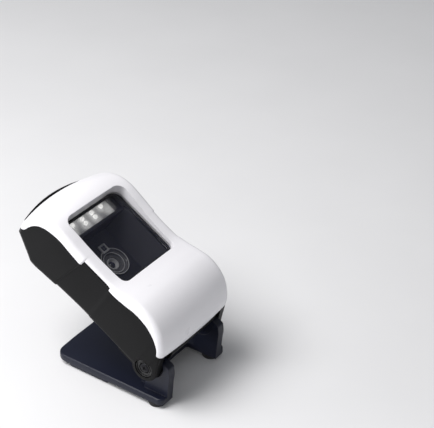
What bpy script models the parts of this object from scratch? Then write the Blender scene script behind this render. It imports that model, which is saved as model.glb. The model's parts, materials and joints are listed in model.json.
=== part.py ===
"""Hands-free desktop barcode scanner: a head with a slanted window that tilts on a two-armed stand.

Metres, +Z up, and the front faces -Y. Lengths below are written in millimetres times MM. The head's
pieces are modelled in the head's own axes, with the origin on the tilt axis: x across, u up along
the face (local Y) and w out of the face (local Z). The stand's pieces are modelled from the floor.
"""

import math

import bmesh
import bpy
from mathutils import Matrix, Vector

MM = 0.001
GAP = 0.3  # between pieces that touch

# Where the tilt axis is, and how far the head leans back from lying flat.
PIVOT_Y = -51.3
PIVOT_Z = 33.8
HEAD_LEAN = 32.0

# Head: half its width, its walls and its rounded edges.
HALF_WIDTH = 44.0
WALL = 2.2
FRONT_RADIUS = 4.5
REAR_RADIUS = 6.0
CROWN = 1.9  # how far the middle of the face stands out past its edges
TOP_CROWN = 5.7  # the same along the top end
SLANT = Vector((0.82, 0.57))  # direction of the slanted face behind the top end
WAIST_DEPTH = 1.0

# The head's side outline (u, w): where each cross-section meets the front and the back.
FRONT = (
    (-4.8, 21.4), (-3.2, 26.6), (0.9, 32.8), (6.4, 38.6), (14.0, 43.0), (21.2, 44.9), (30.0, 44.8),
    (38.2, 42.4), (47.4, 39.0), (56.2, 36.4), (57.8, 36.1), (70.0, 35.6), (84.0, 36.0),
    (85.6, 36.1), (94.0, 36.8), (103.0, 37.8), (113.4, 38.0), (123.0, 35.4), (129.8, 30.9),
    (134.5, 25.3), (138.0, 18.5), (139.8, 12.5),
)
REAR = (
    (-2.0, -7.0), (1.0, -7.0), (4.0, -7.0), (8.5, -7.0), (14.5, -7.0), (21.5, -7.0), (30.0, -7.1),
    (38.5, -7.2), (47.5, -7.4), (56.2, -7.8), (57.8, -7.9), (73.0, -9.2), (91.0, -10.9),
    (92.6, -11.1), (99.0, -12.0), (106.5, -12.9), (114.0, -13.8), (119.5, -13.3), (124.5, -9.8),
    (130.0, -5.9), (135.5, -2.0), (139.8, 1.0),
)
WAIST = {10: 0.4, 11: 1.0, 12: 1.0}  # share of that depth at the narrower grip's cross-sections
LAST_HOLLOW = 20  # the cavity ends at this cross-section

# Line between the white shell and the black body on the head's side (u, w).
PARTING = (
    (-1.2, 21.2), (1.6, 26.2), (6.5, 30.8), (11.5, 33.8), (18.3, 36.3), (25.1, 37.2), (31.7, 37.0),
    (38.9, 35.4), (47.5, 33.8), (56.9, 33.0), (57.1, 34.6), (70.0, 34.2), (84.4, 34.1),
    (84.8, 30.1), (97.0, 30.9), (108.6, 31.8), (118.5, 30.2), (123.1, 28.7), (127.4, 26.0),
    (131.1, 22.0), (133.8, 16.8), (135.8, 10.9), (139.1, 7.2),
)

# Window: corners of its opening (x, u) with their radii, and the sunk glass.
WINDOW = ((30.9, 52.5, 5.0), (33.4, 118.0, 8.0))
WINDOW_RIM = 1.8
RIM_BOTTOM = 27.8
GLASS_THICK = 1.5
GLASS_LOW = (53.0, 34.4)  # u, w of the glass face at its lower end
GLASS_HIGH = (118.0, 31.0)

# Hinge, from the middle outwards: body wall, stand ear, washer, knuckle.
BODY_WALL = (25.8, 27.9)
EAR = (28.5, 31.2)
WASHER = (31.5, 32.3)
KNUCKLE = (32.6, 43.4)
KNUCKLE_R = 11.0
CHEEK_X = 36.7  # outside the cradle walls the knuckle reaches up to the chin
SLOT_R = 12.2
SWEEP_R = 24.4  # clear of the arms through the whole tilt
SWEEP_START = 104.0  # just below the chin
PIN_R = 2.5
THREAD_R = 1.4
BUSH_R = 4.2
CUP_R = 7.8  # cup in the knuckle's outer face
CUP_X = 40.4

# Stand, from the floor up.
PLATE_TOP = 9.0
PLATE_LOW = 3.6
PLATE_THICK = 2.2
SKIRT = 2.4
PLATE_HALF = 42.0
PLATE_FRONT = -66.9
PLATE_BACK = 37.3
GAP_BACK = -39.1  # where the U-gap between the arms ends
CRADLE_X = 35.6
CRADLE_R = 12.0
FOOT = (35.2, -57.7, 7.0)
BLOCK_HALF = 40.8
BLOCK_FRONT = -14.7
BLOCK_BACK = 27.3
BLOCK_LOW = 0.5

# Camera and light panel.
LENS_U = 76.0
HOOD_FLOOR = 9.0
HOOD_MOUTH = 27.0
HOOD_WALL = 1.5
LED_ROWS = ((114.8, (-16.8, -5.6, 5.6, 16.8)), (110.5, (-5.6, 5.6)))

# Panel under the head (u, w), outside and then inside.
PANEL_OUTSIDE = (
    (-4.9, 20.8), (-7.2, 14.4), (-7.2, 12.4), (-5.6, 1.5), (-4.9, -4.6), (-3.2, -6.9), (8.0, -7.0),
)
PANEL_INSIDE = ((8.0, -5.4), (-3.2, -5.3), (-4.0, 1.5), (-5.6, 12.6), (-5.5, 14.1), (-3.3, 20.8))

# Scan key: its span across w, and its outline in (x, u).
KEY_LOW = 7.8
KEY_HIGH = 12.2
KEY_HALF = 36.0
KEY_ENDS = 142.5
KEY_MIDDLE = 148.0
KEY_BACK = 140.4
KEY_FLOOR = 138.8  # bottom of its slot

# Screws: in the head's back (x, u, w of the rear face there), and under the stand (x, y).
CASE_SCREWS = ((-36.0, 48.0, -7.4), (36.0, 48.0, -7.4), (-36.0, 110.0, -13.3), (36.0, 110.0, -13.3))
COVER_SCREWS = ((-34.0, -10.0), (34.0, -10.0), (-30.0, 22.5), (30.0, 22.5))

FINISHES = {
    "white": ((0.86, 0.85, 0.87), 0.32, 0.0),
    "black": ((0.035, 0.035, 0.038), 0.45, 0.0),
    "stand": ((0.035, 0.038, 0.060), 0.42, 0.0),
    "rubber": ((0.02, 0.02, 0.022), 0.85, 0.0),
    "glass": ((0.30, 0.32, 0.36), 0.04, 0.0),
    "hood": ((0.022, 0.022, 0.028), 0.55, 0.0),
    "diffuser": ((0.55, 0.56, 0.56), 0.40, 0.0),
    "led": ((0.90, 0.88, 0.80), 0.30, 0.0),
    "board": ((0.02, 0.14, 0.06), 0.50, 0.0),
    "steel": ((0.42, 0.42, 0.44), 0.35, 1.0),
    "dark_steel": ((0.06, 0.06, 0.065), 0.40, 1.0),
    "lens": ((0.05, 0.06, 0.10), 0.05, 0.0),
    "nylon": ((0.60, 0.59, 0.56), 0.60, 0.0),
    "film": ((0.55, 0.33, 0.10), 0.40, 0.0),
}


# ---- scene, materials and basic pieces -------------------------------------------------------

def clear_scene():
    for item in list(bpy.data.objects):
        bpy.data.objects.remove(item, do_unlink=True)


def new_collection(name):
    group = bpy.data.collections.new(name)
    bpy.context.scene.collection.children.link(group)
    return group


def material_for(piece, finish):
    colour, roughness, metallic = FINISHES[finish]
    material = bpy.data.materials.new(piece.name)
    material.use_nodes = True
    shader = material.node_tree.nodes["Principled BSDF"]
    shader.inputs["Base Color"].default_value = (*colour, 1.0)
    shader.inputs["Roughness"].default_value = roughness
    shader.inputs["Metallic"].default_value = metallic
    piece.data.materials.append(material)


class Side:
    """One assembly's frame: an empty that its pieces and cutters hang from."""

    def __init__(self, name, location, lean):
        self.empty = bpy.data.objects.new(name, None)
        self.empty.location = Vector(location) * MM
        self.empty.rotation_euler = (math.radians(lean), 0, 0)
        PARTS.objects.link(self.empty)

    def add(self, name, mesh, finish, place=None):
        """A piece with a finish, or a cutter where finish is None."""
        piece = bpy.data.objects.new(name, mesh)
        piece.parent = self.empty
        if place is not None:
            piece.matrix_local = place
        if finish is None:
            CUTTERS.objects.link(piece)
            piece.hide_render = True
            piece.display_type = "WIRE"
        else:
            PARTS.objects.link(piece)
            material_for(piece, finish)
        return piece


def mesh_from(name, fill):
    """A mesh of what fill(bm) builds in millimetres, with its faces turned outwards."""
    bm = bmesh.new()
    fill(bm)
    bmesh.ops.scale(bm, vec=(MM, MM, MM), verts=bm.verts)
    bmesh.ops.recalc_face_normals(bm, faces=bm.faces)
    mesh = bpy.data.meshes.new(name)
    bm.to_mesh(mesh)
    bm.free()
    return mesh


def box(side, name, low, high, finish=None):
    size = Vector(high) - Vector(low)
    middle = (Vector(high) + Vector(low)) / 2

    def fill(bm):
        bmesh.ops.create_cube(bm, size=1.0, matrix=Matrix.Translation(middle) @ Matrix.Diagonal((*size, 1)))

    return side.add(name, mesh_from(name, fill), finish)


def prism(side, name, outline, low, high, axis="Z", finish=None):
    """A flat outline made thick along an axis: along X it is drawn in (y, z), along Z in (x, y)."""
    curve = bpy.data.curves.new(name, "CURVE")
    curve.dimensions = "2D"
    curve.fill_mode = "BOTH"
    curve.extrude = (high - low) / 2 * MM
    spline = curve.splines.new("POLY")
    spline.points.add(len(outline) - 1)
    for point, (a, b) in zip(spline.points, outline):
        point.co = (a * MM, b * MM, 0, 1)
    spline.use_cyclic_u = True
    drawn = bpy.data.objects.new(name, curve)
    CUTTERS.objects.link(drawn)
    graph = bpy.context.evaluated_depsgraph_get()
    mesh = bpy.data.meshes.new_from_object(drawn.evaluated_get(graph))
    bpy.data.objects.remove(drawn)
    bm = bmesh.new()
    bm.from_mesh(mesh)
    bmesh.ops.remove_doubles(bm, verts=bm.verts, dist=1e-6)
    bmesh.ops.recalc_face_normals(bm, faces=bm.faces)
    bm.to_mesh(mesh)
    bm.free()
    mesh.transform(Matrix.Translation((0, 0, (low + high) / 2 * MM)))
    if axis == "X":
        mesh.transform(Matrix(((0, 0, 1, 0), (1, 0, 0, 0), (0, 1, 0, 0), (0, 0, 0, 1))))
    return side.add(name, mesh, finish)


def turned(side, name, profile, centre, axis="Z", finish=None, steps=20, flip=False):
    """A profile of (radius, height) spun about its axis. It runs down the outer side, and a profile
    that starts and ends off the axis is closed into a ring."""
    mesh = bpy.data.meshes.new(name)
    edges = [(i, i + 1) for i in range(len(profile) - 1)]
    if profile[0][0] > 0:
        edges.append((len(profile) - 1, 0))
    mesh.from_pydata([(r * MM, 0, h * MM) for r, h in profile], edges, [])
    turn = Matrix.Identity(4)
    if axis == "X":
        turn = Matrix.Rotation(math.radians(-90 if flip else 90), 4, "Y")
    elif flip:
        turn = Matrix.Rotation(math.pi, 4, "X")
    piece = side.add(name, mesh, finish, Matrix.Translation(Vector(centre) * MM) @ turn)
    spin = piece.modifiers.new("spin", "SCREW")
    spin.axis = "Z"
    spin.steps = steps
    spin.render_steps = steps
    spin.use_merge_vertices = True
    spin.merge_threshold = 1e-6
    return piece


def rod(side, name, radius, low, high, centre, axis="Z", finish=None, steps=20):
    return turned(side, name, ((0, high), (radius, high), (radius, low), (0, low)), centre, axis, finish, steps)


def loft(side, name, rings, finish=None):
    """A skin through rings of equal point counts. Each ring is a front row and a rear row of the
    same length, so the ends close as strips between the rows."""

    def fill(bm):
        rows = [[bm.verts.new(point) for point in ring] for ring in rings]
        count = len(rows[0])
        for low, high in zip(rows, rows[1:]):
            for i in range(count):
                j = (i + 1) % count
                bm.faces.new((low[i], low[j], high[j], high[i]))
        for ring in (rows[0], rows[-1]):
            for i in range(count // 2 - 1):
                bm.faces.new((ring[i], ring[i + 1], ring[count - 2 - i], ring[count - 1 - i]))
        bmesh.ops.triangulate(bm, faces=bm.faces)

    return side.add(name, mesh_from(name, fill), finish)


def bevel(piece, width, segments=1):
    edge = piece.modifiers.new("edges", "BEVEL")
    edge.width = width * MM
    edge.segments = segments
    edge.limit_method = "ANGLE"
    edge.angle_limit = math.radians(40)


def combine(piece, other, operation):
    modifier = piece.modifiers.new(other.name, "BOOLEAN")
    modifier.operation = operation
    modifier.object = other


def cut(piece, *others):
    for other in others:
        combine(piece, other, "DIFFERENCE")


def join(piece, *others):
    for other in others:
        combine(piece, other, "UNION")


# ---- outlines --------------------------------------------------------------------------------

def arc(centre, radius, start, end, steps):
    """Points on a circle, from the start angle to the end angle in degrees."""
    angles = [math.radians(start + (end - start) * i / steps) for i in range(steps + 1)]
    return [(centre[0] + radius * math.cos(a), centre[1] + radius * math.sin(a)) for a in angles]


def rounded(corners, steps=4):
    """Outline through corners (x, y, radius), each corner with a radius turned into an arc."""
    points = []
    for i, (x, y, radius) in enumerate(corners):
        here = Vector((x, y))
        back = (Vector(corners[i - 1][:2]) - here).normalized()
        ahead = (Vector(corners[(i + 1) % len(corners)][:2]) - here).normalized()
        if radius == 0:
            points.append((x, y))
            continue
        half = back.angle(ahead) / 2
        centre = here + (back + ahead).normalized() * (radius / math.sin(half))
        first = here + back * (radius / math.tan(half)) - centre
        turn = math.degrees(first.angle_signed(here + ahead * (radius / math.tan(half)) - centre))
        start = math.degrees(math.atan2(first.y, first.x))
        points += arc(centre, radius, start, start - turn, steps)
    return points


def mirrored(half):
    """A closed outline from its right half, listed from the front to the back."""
    return list(half) + [(-x, y) for x, y in reversed(half) if abs(x) > 1e-9]


def window_outline(grow):
    (low_x, low_u, low_r), (high_x, high_u, high_r) = WINDOW
    return rounded((
        (low_x + grow, low_u - grow, low_r + grow), (high_x + grow, high_u + grow, high_r + grow),
        (-high_x - grow, high_u + grow, high_r + grow), (-low_x - grow, low_u - grow, low_r + grow),
    ), 5)


def rectangle(x0, y0, x1, y1, radius=0.0, steps=3):
    return rounded(((x0, y0, radius), (x1, y0, radius), (x1, y1, radius), (x0, y1, radius)), steps)


# ---- the head's form -------------------------------------------------------------------------

def inward(chain, i, sense):
    """Unit normal of a side outline at point i, pointing into the head."""
    before = Vector(chain[max(i - 1, 0)])
    after = Vector(chain[min(i + 1, len(chain) - 1)])
    along = (after - before).normalized()
    return Vector((along.y, -along.x)) * sense


def top_share(i):
    """0 along the head, rising to 1 at the top end."""
    first = 16
    t = max(0.0, (i - first) / (len(FRONT) - 1 - first))
    return t * (2 - t)


def half_width(i):
    return HALF_WIDTH - WAIST_DEPTH * WAIST.get(i, 0.0)


def row(edge, middle, normal, radius, half, corner_steps):
    """One row of a cross-section, from -x to +x, with a round corner at each end."""
    points = []
    for k in range(corner_steps + 1):
        angle = math.radians(90 * (1 - k / corner_steps))
        points.append((half - radius * (1 - math.sin(angle)), radius * (1 - math.cos(angle))))
    for share in (0.72, 0.38):
        points.append(((half - radius) * share, 0.0))
    right = [(x, depth) for x, depth in points]
    line = [(-x, depth) for x, depth in right] + [(0.0, 0.0)] + right[::-1]
    result = []
    for x, depth in line:
        at = edge + (middle - edge) * (1 - (x / half) ** 2) + normal * depth
        result.append((x, at.x, at.y))
    return result


def cross_section(i, front_in, rear_in, side_in, corner_steps):
    """Ring of points of cross-section i, moved in from the front, the rear and the sides."""
    half = half_width(i) - side_in
    share = top_share(i)
    front_normal = inward(FRONT, i, 1)
    rear_normal = inward(REAR, i, -1)
    front_edge = Vector(FRONT[i]) + front_normal * front_in
    rear_edge = Vector(REAR[i]) + rear_normal * rear_in
    front_middle = front_edge - front_normal * (CROWN + (TOP_CROWN - CROWN) * share)
    rear_middle = rear_edge + SLANT * (TOP_CROWN * share)
    front = row(front_edge, front_middle, front_normal, max(FRONT_RADIUS - side_in, 0.8), half, corner_steps)
    rear = row(rear_edge, rear_middle, rear_normal, max(REAR_RADIUS - side_in, 0.8), half, corner_steps)
    return front + rear[::-1]


def head_form(name, finish=None):
    rings = [cross_section(i, 0, 0, 0, 2) for i in range(len(FRONT))]
    return loft(HEAD, name, rings, finish)


def head_cavity(name, front_in, rear_in):
    rings = [cross_section(i, front_in, rear_in, WALL, 1) for i in range(LAST_HOLLOW + 1)]
    rings[0] = [(x, u + (WALL if w < 0 else 0), w) for x, u, w in rings[0]]
    return loft(HEAD, name, rings)


def parting_prism(name, shift, towards):
    """Everything in front of the parting line, or behind it where towards is -1."""
    far = 90.0 * towards
    lead = [(-30.0, PARTING[0][1])]
    tail = [(160.0, PARTING[-1][1] - 1.12 * (160.0 - PARTING[-1][0]))]
    line = [(u, w + shift) for u, w in lead + list(PARTING) + tail]
    return prism(HEAD, name, line + [(160.0, far), (-30.0, far)], -60, 60, "X")


def make_front_shell():
    shell = head_form("front_shell", "white")
    combine(shell, parting_prism("front_region", 0.0, 1), "INTERSECT")
    hollow = head_cavity("front_hollow", WALL, 0.0)
    cut(hollow, prism(HEAD, "window_rim", window_outline(WINDOW_RIM), RIM_BOTTOM, 60))
    for i, (x, u, back) in enumerate(CASE_SCREWS):
        cut(hollow, rod(HEAD, f"boss_{i}", 3.0, 6.0, 50.0, (x, u, 0), steps=12))
    cut(shell, hollow)
    join(shell, prism(HEAD, "window_frame", window_outline(WINDOW_RIM - 0.1), RIM_BOTTOM, 34.8))
    cut(shell, prism(HEAD, "window_opening", window_outline(0), 20, 60))
    for i, (x, u, back) in enumerate(CASE_SCREWS):
        cut(shell, rod(HEAD, f"pilot_{i}", 1.5, 0.0, 17.0, (x, u, 0), steps=12))
    cut(shell, prism(HEAD, "key_slot", key_outline(0.45, KEY_FLOOR, 0.0), KEY_LOW - 0.4, KEY_HIGH + 0.4))
    cut(shell, box(HEAD, "stem_slot", (-2.6, 128, 7.4), (2.6, 140, 11.4)))
    return shell


def swept_outline(inner, outer, start, end):
    """Sector about the tilt axis, between two radii."""
    return arc((0, 0), outer, start, end, 10) + arc((0, 0), inner, end, start, 12)


def slot_outline():
    """Clear of the stand's ear: round the tilt axis, and wide open in front and below."""
    return arc((0, 0), SWEEP_R, SWEEP_START, 306, 12) + arc((0, 0), SLOT_R, -54, SWEEP_START, 10)


def knuckle_outline():
    """Circle about the tilt axis with a tangent up to the chin's corner."""
    chin = Vector((-4.3, 20.7))
    reach = math.degrees(math.acos(KNUCKLE_R / chin.length))
    start = math.degrees(math.atan2(chin.y, chin.x)) + reach
    return [tuple(chin)] + arc((0, 0), KNUCKLE_R, start, start + 240, 16)


def panel_bay():
    """Room for the bottom panel: clear of its inside, and open in front and below."""
    edge = [(u + GAP, w + (GAP if w < 0 else 0)) for u, w in PANEL_INSIDE[1:]]
    return [(8.3, -5.0)] + edge + [(-2.6, 26.0), (-30.0, 26.0), (-30.0, -30.0), (8.3, -30.0)]


def make_rear_body():
    body = head_form("rear_body", "black")
    combine(body, parting_prism("rear_region", -GAP, -1), "INTERSECT")
    cut(body, head_cavity("rear_hollow", 0.0, WALL))
    block = ((-3.6, 20.4), (-1.3, -5.6), (24.5, -5.6), (24.5, 20.4))
    for name, s in (("L", -1), ("R", 1)):
        x0, x1 = sorted((s * BODY_WALL[0], s * 42.9))
        join(body, prism(HEAD, f"hinge_block_{name}", block, x0, x1, "X"))
        x0, x1 = sorted((s * KNUCKLE[0], s * KNUCKLE[1]))
        join(body, prism(HEAD, f"knuckle_{name}", knuckle_outline(), x0, x1, "X"))
    for name, s in (("L", -1), ("R", 1)):
        x0, x1 = sorted((s * BODY_WALL[1], s * KNUCKLE[0]))
        cut(body, prism(HEAD, f"ear_slot_{name}", slot_outline(), x0, x1, "X"))
        x0, x1 = sorted((s * (KNUCKLE[0] - 1), s * CHEEK_X))
        sweep = swept_outline(KNUCKLE_R - 0.2, SWEEP_R, SWEEP_START, 262)
        cut(body, prism(HEAD, f"cradle_sweep_{name}", sweep, x0, x1, "X"))
        cut(body, rod(HEAD, f"pin_hole_{name}", PIN_R + GAP, -12, 12, (s * 34, 0, 0), "X"))
        cut(body, rod(HEAD, f"cup_{name}", CUP_R, -3, 3, (s * (CUP_X + 3), 0, 0), "X", steps=24))
        cut(body, rod(HEAD, f"nut_room_{name}", 3.9, -2.1, 2.0, (s * 23.8, 0, 0), "X", steps=12))
    cut(body, prism(HEAD, "panel_bay", panel_bay(), -BODY_WALL[1] - 0.2, BODY_WALL[1] + 0.2, "X"))
    cut(body, box(HEAD, "socket_hole", (-7.9, 19.0, -20), (7.9, 33.0, 0)))
    for i, (x, u, back) in enumerate(CASE_SCREWS):
        join(body, rod(HEAD, f"screw_boss_{i}", 4.1, back + 1.0, back + 5.2, (x, u, 0), steps=12))
        cut(body, rod(HEAD, f"screw_hole_{i}", 1.6, -20, 4.0, (x, u, 0), steps=10))
        cut(body, rod(HEAD, f"screw_pocket_{i}", 3.2, -20, back + 3.0, (x, u, 0), steps=14))
    return body


def make_bottom_panel():
    outline = PANEL_OUTSIDE + PANEL_INSIDE
    half = BODY_WALL[1] - GAP
    return prism(HEAD, "bottom_panel", outline, -half, half, "X", "black")


# ---- window, light and camera ----------------------------------------------------------------

def glass_frame():
    """The sunk glass's own frame: on its face, tipped so that its upper end lies deeper."""
    drop = math.atan2(GLASS_LOW[1] - GLASS_HIGH[1], GLASS_HIGH[0] - GLASS_LOW[0])
    low = Vector((0, GLASS_LOW[0], GLASS_LOW[1])) * MM
    start = Matrix.Translation((0, -GLASS_LOW[0] * MM, 0))
    return Matrix.Translation(low) @ Matrix.Rotation(-drop, 4, "X") @ start


def make_window():
    glass = prism(HEAD, "window_glass", window_outline(-0.35), -GLASS_THICK, 0, "Z", "glass")
    glass.matrix_local = glass_frame()
    low = -GLASS_THICK - GAP
    gasket = prism(HEAD, "window_gasket", window_outline(-0.45), low - 1.2, low, "Z", "rubber")
    gasket.matrix_local = glass_frame()
    inside = prism(HEAD, "gasket_inside", window_outline(-2.4), low - 5, low + 5)
    inside.matrix_local = glass_frame()
    cut(gasket, inside)


def funnel(name, grow, low, high, finish=None):
    """The hood's tapering box: narrow at its floor and nearly as wide as the window at its mouth."""

    def ring(w):
        t = (w - HOOD_FLOOR) / (HOOD_MOUTH - HOOD_FLOOR)
        half = 16.0 + 14.0 * t + grow
        front = [(-half, 102.0 + grow), (0.0, 102.0 + grow), (half, 102.0 + grow)]
        rear = [(-half, 57.0 - 3.0 * t - grow), (0.0, 57.0 - 3.0 * t - grow), (half, 57.0 - 3.0 * t - grow)]
        return [(x, u, w) for x, u in front + rear[::-1]]

    return loft(HEAD, name, [ring(low), ring(high)], finish)


def make_light_hood():
    hood = funnel("light_hood", HOOD_WALL, HOOD_FLOOR - HOOD_WALL, 27.2, "hood")
    join(hood, box(HEAD, "hood_shelf", (-31.5, 100.0, 22.4), (31.5, 121.0, 23.9)))
    cut(hood, funnel("hood_inside", 0.0, HOOD_FLOOR, 30.0))
    cut(hood, box(HEAD, "led_hole", (-24.0, 105.2, 15.0), (24.0, 117.6, 30.0)))
    cut(hood, rod(HEAD, "camera_hole", 12.3, 6.0, 14.0, (0, LENS_U, 0), steps=24))
    return hood


def make_light_panel():
    panel = box(HEAD, "led_diffuser", (-24.3, 105.3, 24.2), (24.3, 118.0, 26.8), "diffuser")
    cut(panel, box(HEAD, "diffuser_inside", (-22.6, 106.4, 20.0), (22.6, 116.9, 25.6)))
    bevel(panel, 0.5)
    box(HEAD, "led_board", (-26.0, 104.2, 20.2), (26.0, 119.0, 21.4), "board")
    number = 0
    for u, places in LED_ROWS:
        for x in places:
            number += 1
            turned(
                HEAD, f"led_{number}", ((0, 24.3), (0.9, 24.0), (1.5, 23.2), (1.7, 21.7), (0, 21.7)),
                (x, u, 0), finish="led", steps=12,
            )


def make_camera():
    rings = (
        (12.0, 10.0), (12.0, 6.0), (8.6, 6.0), (8.6, 3.4), (5.5, 3.4), (5.5, 6.4), (8.2, 6.4),
        (8.2, 8.0), (11.0, 8.0), (11.0, 10.0),
    )
    holder = turned(HEAD, "camera_holder", rings, (0, LENS_U, 0), finish="black", steps=24)
    cut(holder, box(HEAD, "aimer_notch", (-3.8, 85.2, 9.0), (3.8, 93.0, 20.0)))
    barrel = ((5.1, 6.2), (5.1, 3.4), (2.9, 3.4), (2.9, 4.3), (4.1, 5.4), (4.1, 6.2))
    turned(HEAD, "lens_barrel", barrel, (0, LENS_U, 0), finish="black", steps=20)
    dome = ((0, 5.6), (1.2, 5.45), (2.2, 4.95), (2.6, 4.3), (2.6, 3.5), (0, 3.5))
    turned(HEAD, "lens_glass", dome, (0, LENS_U, 0), finish="lens", steps=20)
    frame = box(HEAD, "aimer_housing", (-3.5, 85.5, 9.3), (3.5, 92.5, 10.9), "black")
    cut(frame, box(HEAD, "aimer_inside", (-2.4, 86.6, 9.7), (2.4, 91.4, 20.0)))
    box(HEAD, "aimer_lens", (-2.0, 87.0, 10.0), (2.0, 91.0, 10.6), "lens")
    box(HEAD, "sensor_board", (-14.0, 62.0, 1.8), (14.0, 92.0, 3.0), "board")


def make_electronics():
    box(HEAD, "decoder_board", (-30.0, 38.0, -2.2), (30.0, 104.0, -0.6), "board")
    shield = box(HEAD, "processor_shield", (-20.0, 41.0, -0.3), (-2.0, 58.0, 2.6), "steel")
    bevel(shield, 0.5)
    rod(HEAD, "beeper", 6.0, -0.3, 6.0, (18, 49, 0), finish="black")
    socket = box(HEAD, "cable_socket", (-7.5, 19.4, -6.8), (7.5, 32.6, 6.4), "black")
    cut(socket, box(HEAD, "socket_inside", (-6.0, 21.1, -20), (6.0, 30.9, 4.6)))
    outline = (
        (57.0, 0.0), (57.0, -0.3), (61.0, -0.3), (61.6, 0.2), (61.6, 2.4), (61.2, 2.4), (61.2, 0.4),
        (60.8, 0.0),
    )
    prism(HEAD, "ribbon_cable", outline, -1.5, 6.5, "X", "film")


# ---- scan key --------------------------------------------------------------------------------

def key_outline(grow, back, taper):
    """Bar with a bowed outer edge, in (x, u), narrower by the taper at its back."""
    rise = KEY_MIDDLE - KEY_ENDS
    half = KEY_HALF + grow
    front = []
    for i in range(13):
        x = half * (1 - i / 6)
        front.append((x, KEY_ENDS + grow + rise * (1 - (x / half) ** 2)))
    return [(-half + taper, back), (half - taper, back)] + front


def make_scan_key():
    key = prism(HEAD, "scan_key", key_outline(0, KEY_BACK, 1.5), KEY_LOW, KEY_HIGH, "Z", "black")
    bevel(key, 0.5)
    join(key, box(HEAD, "key_stem", (-2.0, 134.3, 8.2), (2.0, KEY_BACK + 1, 10.8)))
    box(HEAD, "key_switch", (-3.0, 129.2, 6.4), (3.0, 132.8, 12.4), "black")


# ---- fasteners of the head -------------------------------------------------------------------

def make_case_screws():
    for i, (x, u, back) in enumerate(CASE_SCREWS):
        low = back + 0.9
        top = low + 1.8
        profile = ((0, 14.0), (1.1, 13.4), (1.1, top), (2.8, top), (2.8, low), (1.1, low), (0, low + 1.0))
        turned(HEAD, f"case_screw_{i + 1}", profile, (x, u, 0), finish="dark_steel", steps=12)


def make_hinge():
    for name, s in (("L", -1), ("R", 1)):
        flip = s < 0
        place = (0, 0, 0)
        screw = (
            (0, 41.4), (2.0, 41.4), (2.0, 42.7), (4.0, 42.7), (4.0, CUP_X + 0.3), (PIN_R, CUP_X + 0.3),
            (PIN_R, 26.5), (THREAD_R, 26.5), (THREAD_R, 22.0), (0, 22.0),
        )
        turned(HEAD, f"hinge_screw_{name}", screw, place, "X", "dark_steel", 20, flip)
        ring = (
            (7.4, 42.9), (7.4, CUP_X + 0.3), (4.4, CUP_X + 0.3), (4.4, 42.7), (5.2, 42.7), (5.2, 42.0),
            (6.7, 42.0), (6.7, 42.9),
        )
        turned(HEAD, f"hinge_ring_{name}", ring, place, "X", "black", 24, flip)
        washer = ((9.0, WASHER[1]), (9.0, WASHER[0]), (PIN_R + GAP, WASHER[0]), (PIN_R + GAP, WASHER[1]))
        turned(HEAD, f"friction_washer_{name}", washer, place, "X", "nylon", 20, flip)
        bore = THREAD_R + GAP
        nut = ((3.2, BODY_WALL[0] - GAP), (3.2, 22.5), (bore, 22.5), (bore, BODY_WALL[0] - GAP))
        turned(HEAD, f"hinge_nut_{name}", nut, place, "X", "steel", 6, flip)
        bush = ((BUSH_R, EAR[1]), (BUSH_R, EAR[0]), (PIN_R + 0.25, EAR[0]), (PIN_R + 0.25, EAR[1]))
        turned(STAND, f"hinge_bush_{name}", bush, (0, PIVOT_Y, PIVOT_Z), "X", "nylon", 24, flip)


# ---- stand -----------------------------------------------------------------------------------

def plate_outline():
    """The plate seen from above, with the U-gap between its arms."""
    half = PLATE_HALF
    inner = EAR[0]
    corners = rounded((
        (inner, GAP_BACK, 2.0), (inner, PLATE_FRONT, 0), (half, PLATE_FRONT, 5.0),
        (half, PLATE_BACK - 1.0, 9.0), (half * 0.45, PLATE_BACK, 60.0), (-half, PLATE_BACK, 0),
        (-half, GAP_BACK, 0),
    ))
    return mirrored([(0, GAP_BACK)] + corners[:-2])


def recess_outline():
    """Underside hollow, inside the skirt and closed along the U-gap."""
    half = PLATE_HALF - SKIRT
    back = PLATE_BACK - SKIRT
    front = PLATE_FRONT + SKIRT
    inner = EAR[0] + 2.8
    gap_side = GAP_BACK + SKIRT
    corners = rounded((
        (inner, gap_side, 0.5), (inner, front, 0.5), (half, front, 3.0), (half, back - 2.0, 7.0),
        (0, back, 0), (-half, gap_side, 0),
    ))
    return mirrored([(0, gap_side)] + corners[:-1])


def front_edge_points(back=0.0):
    """Front outline of the arms (y, z), from the plate up to the tip of the cradle."""
    y = PIVOT_Y + back
    z = PIVOT_Z - back
    foot = [(y - 15.5, PLATE_LOW + 1.5), (y - 16.8, z - 14.0)]
    return foot + [(y - 17.7, z - 1.8), (y - 16.9, z + 1.9), (y - 14.3, z + 3.8)]


def cradle_outline():
    """Wall in front of and under a knuckle, hollowed round the tilt axis."""
    hollow = arc((PIVOT_Y, PIVOT_Z), CRADLE_R, 155, 285, 12)
    return front_edge_points() + hollow + [(PIVOT_Y + 6.2, PLATE_LOW + 2.0)]


def ear_outline():
    """Plate that carries the tilt axis, rounded over it."""
    top = arc((PIVOT_Y, PIVOT_Z), KNUCKLE_R, 140, -55, 14)
    y = PIVOT_Y + 12.0
    return front_edge_points(0.3) + top + [(y, PLATE_LOW + 4.6), (y, PLATE_LOW + 2.0)]


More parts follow.
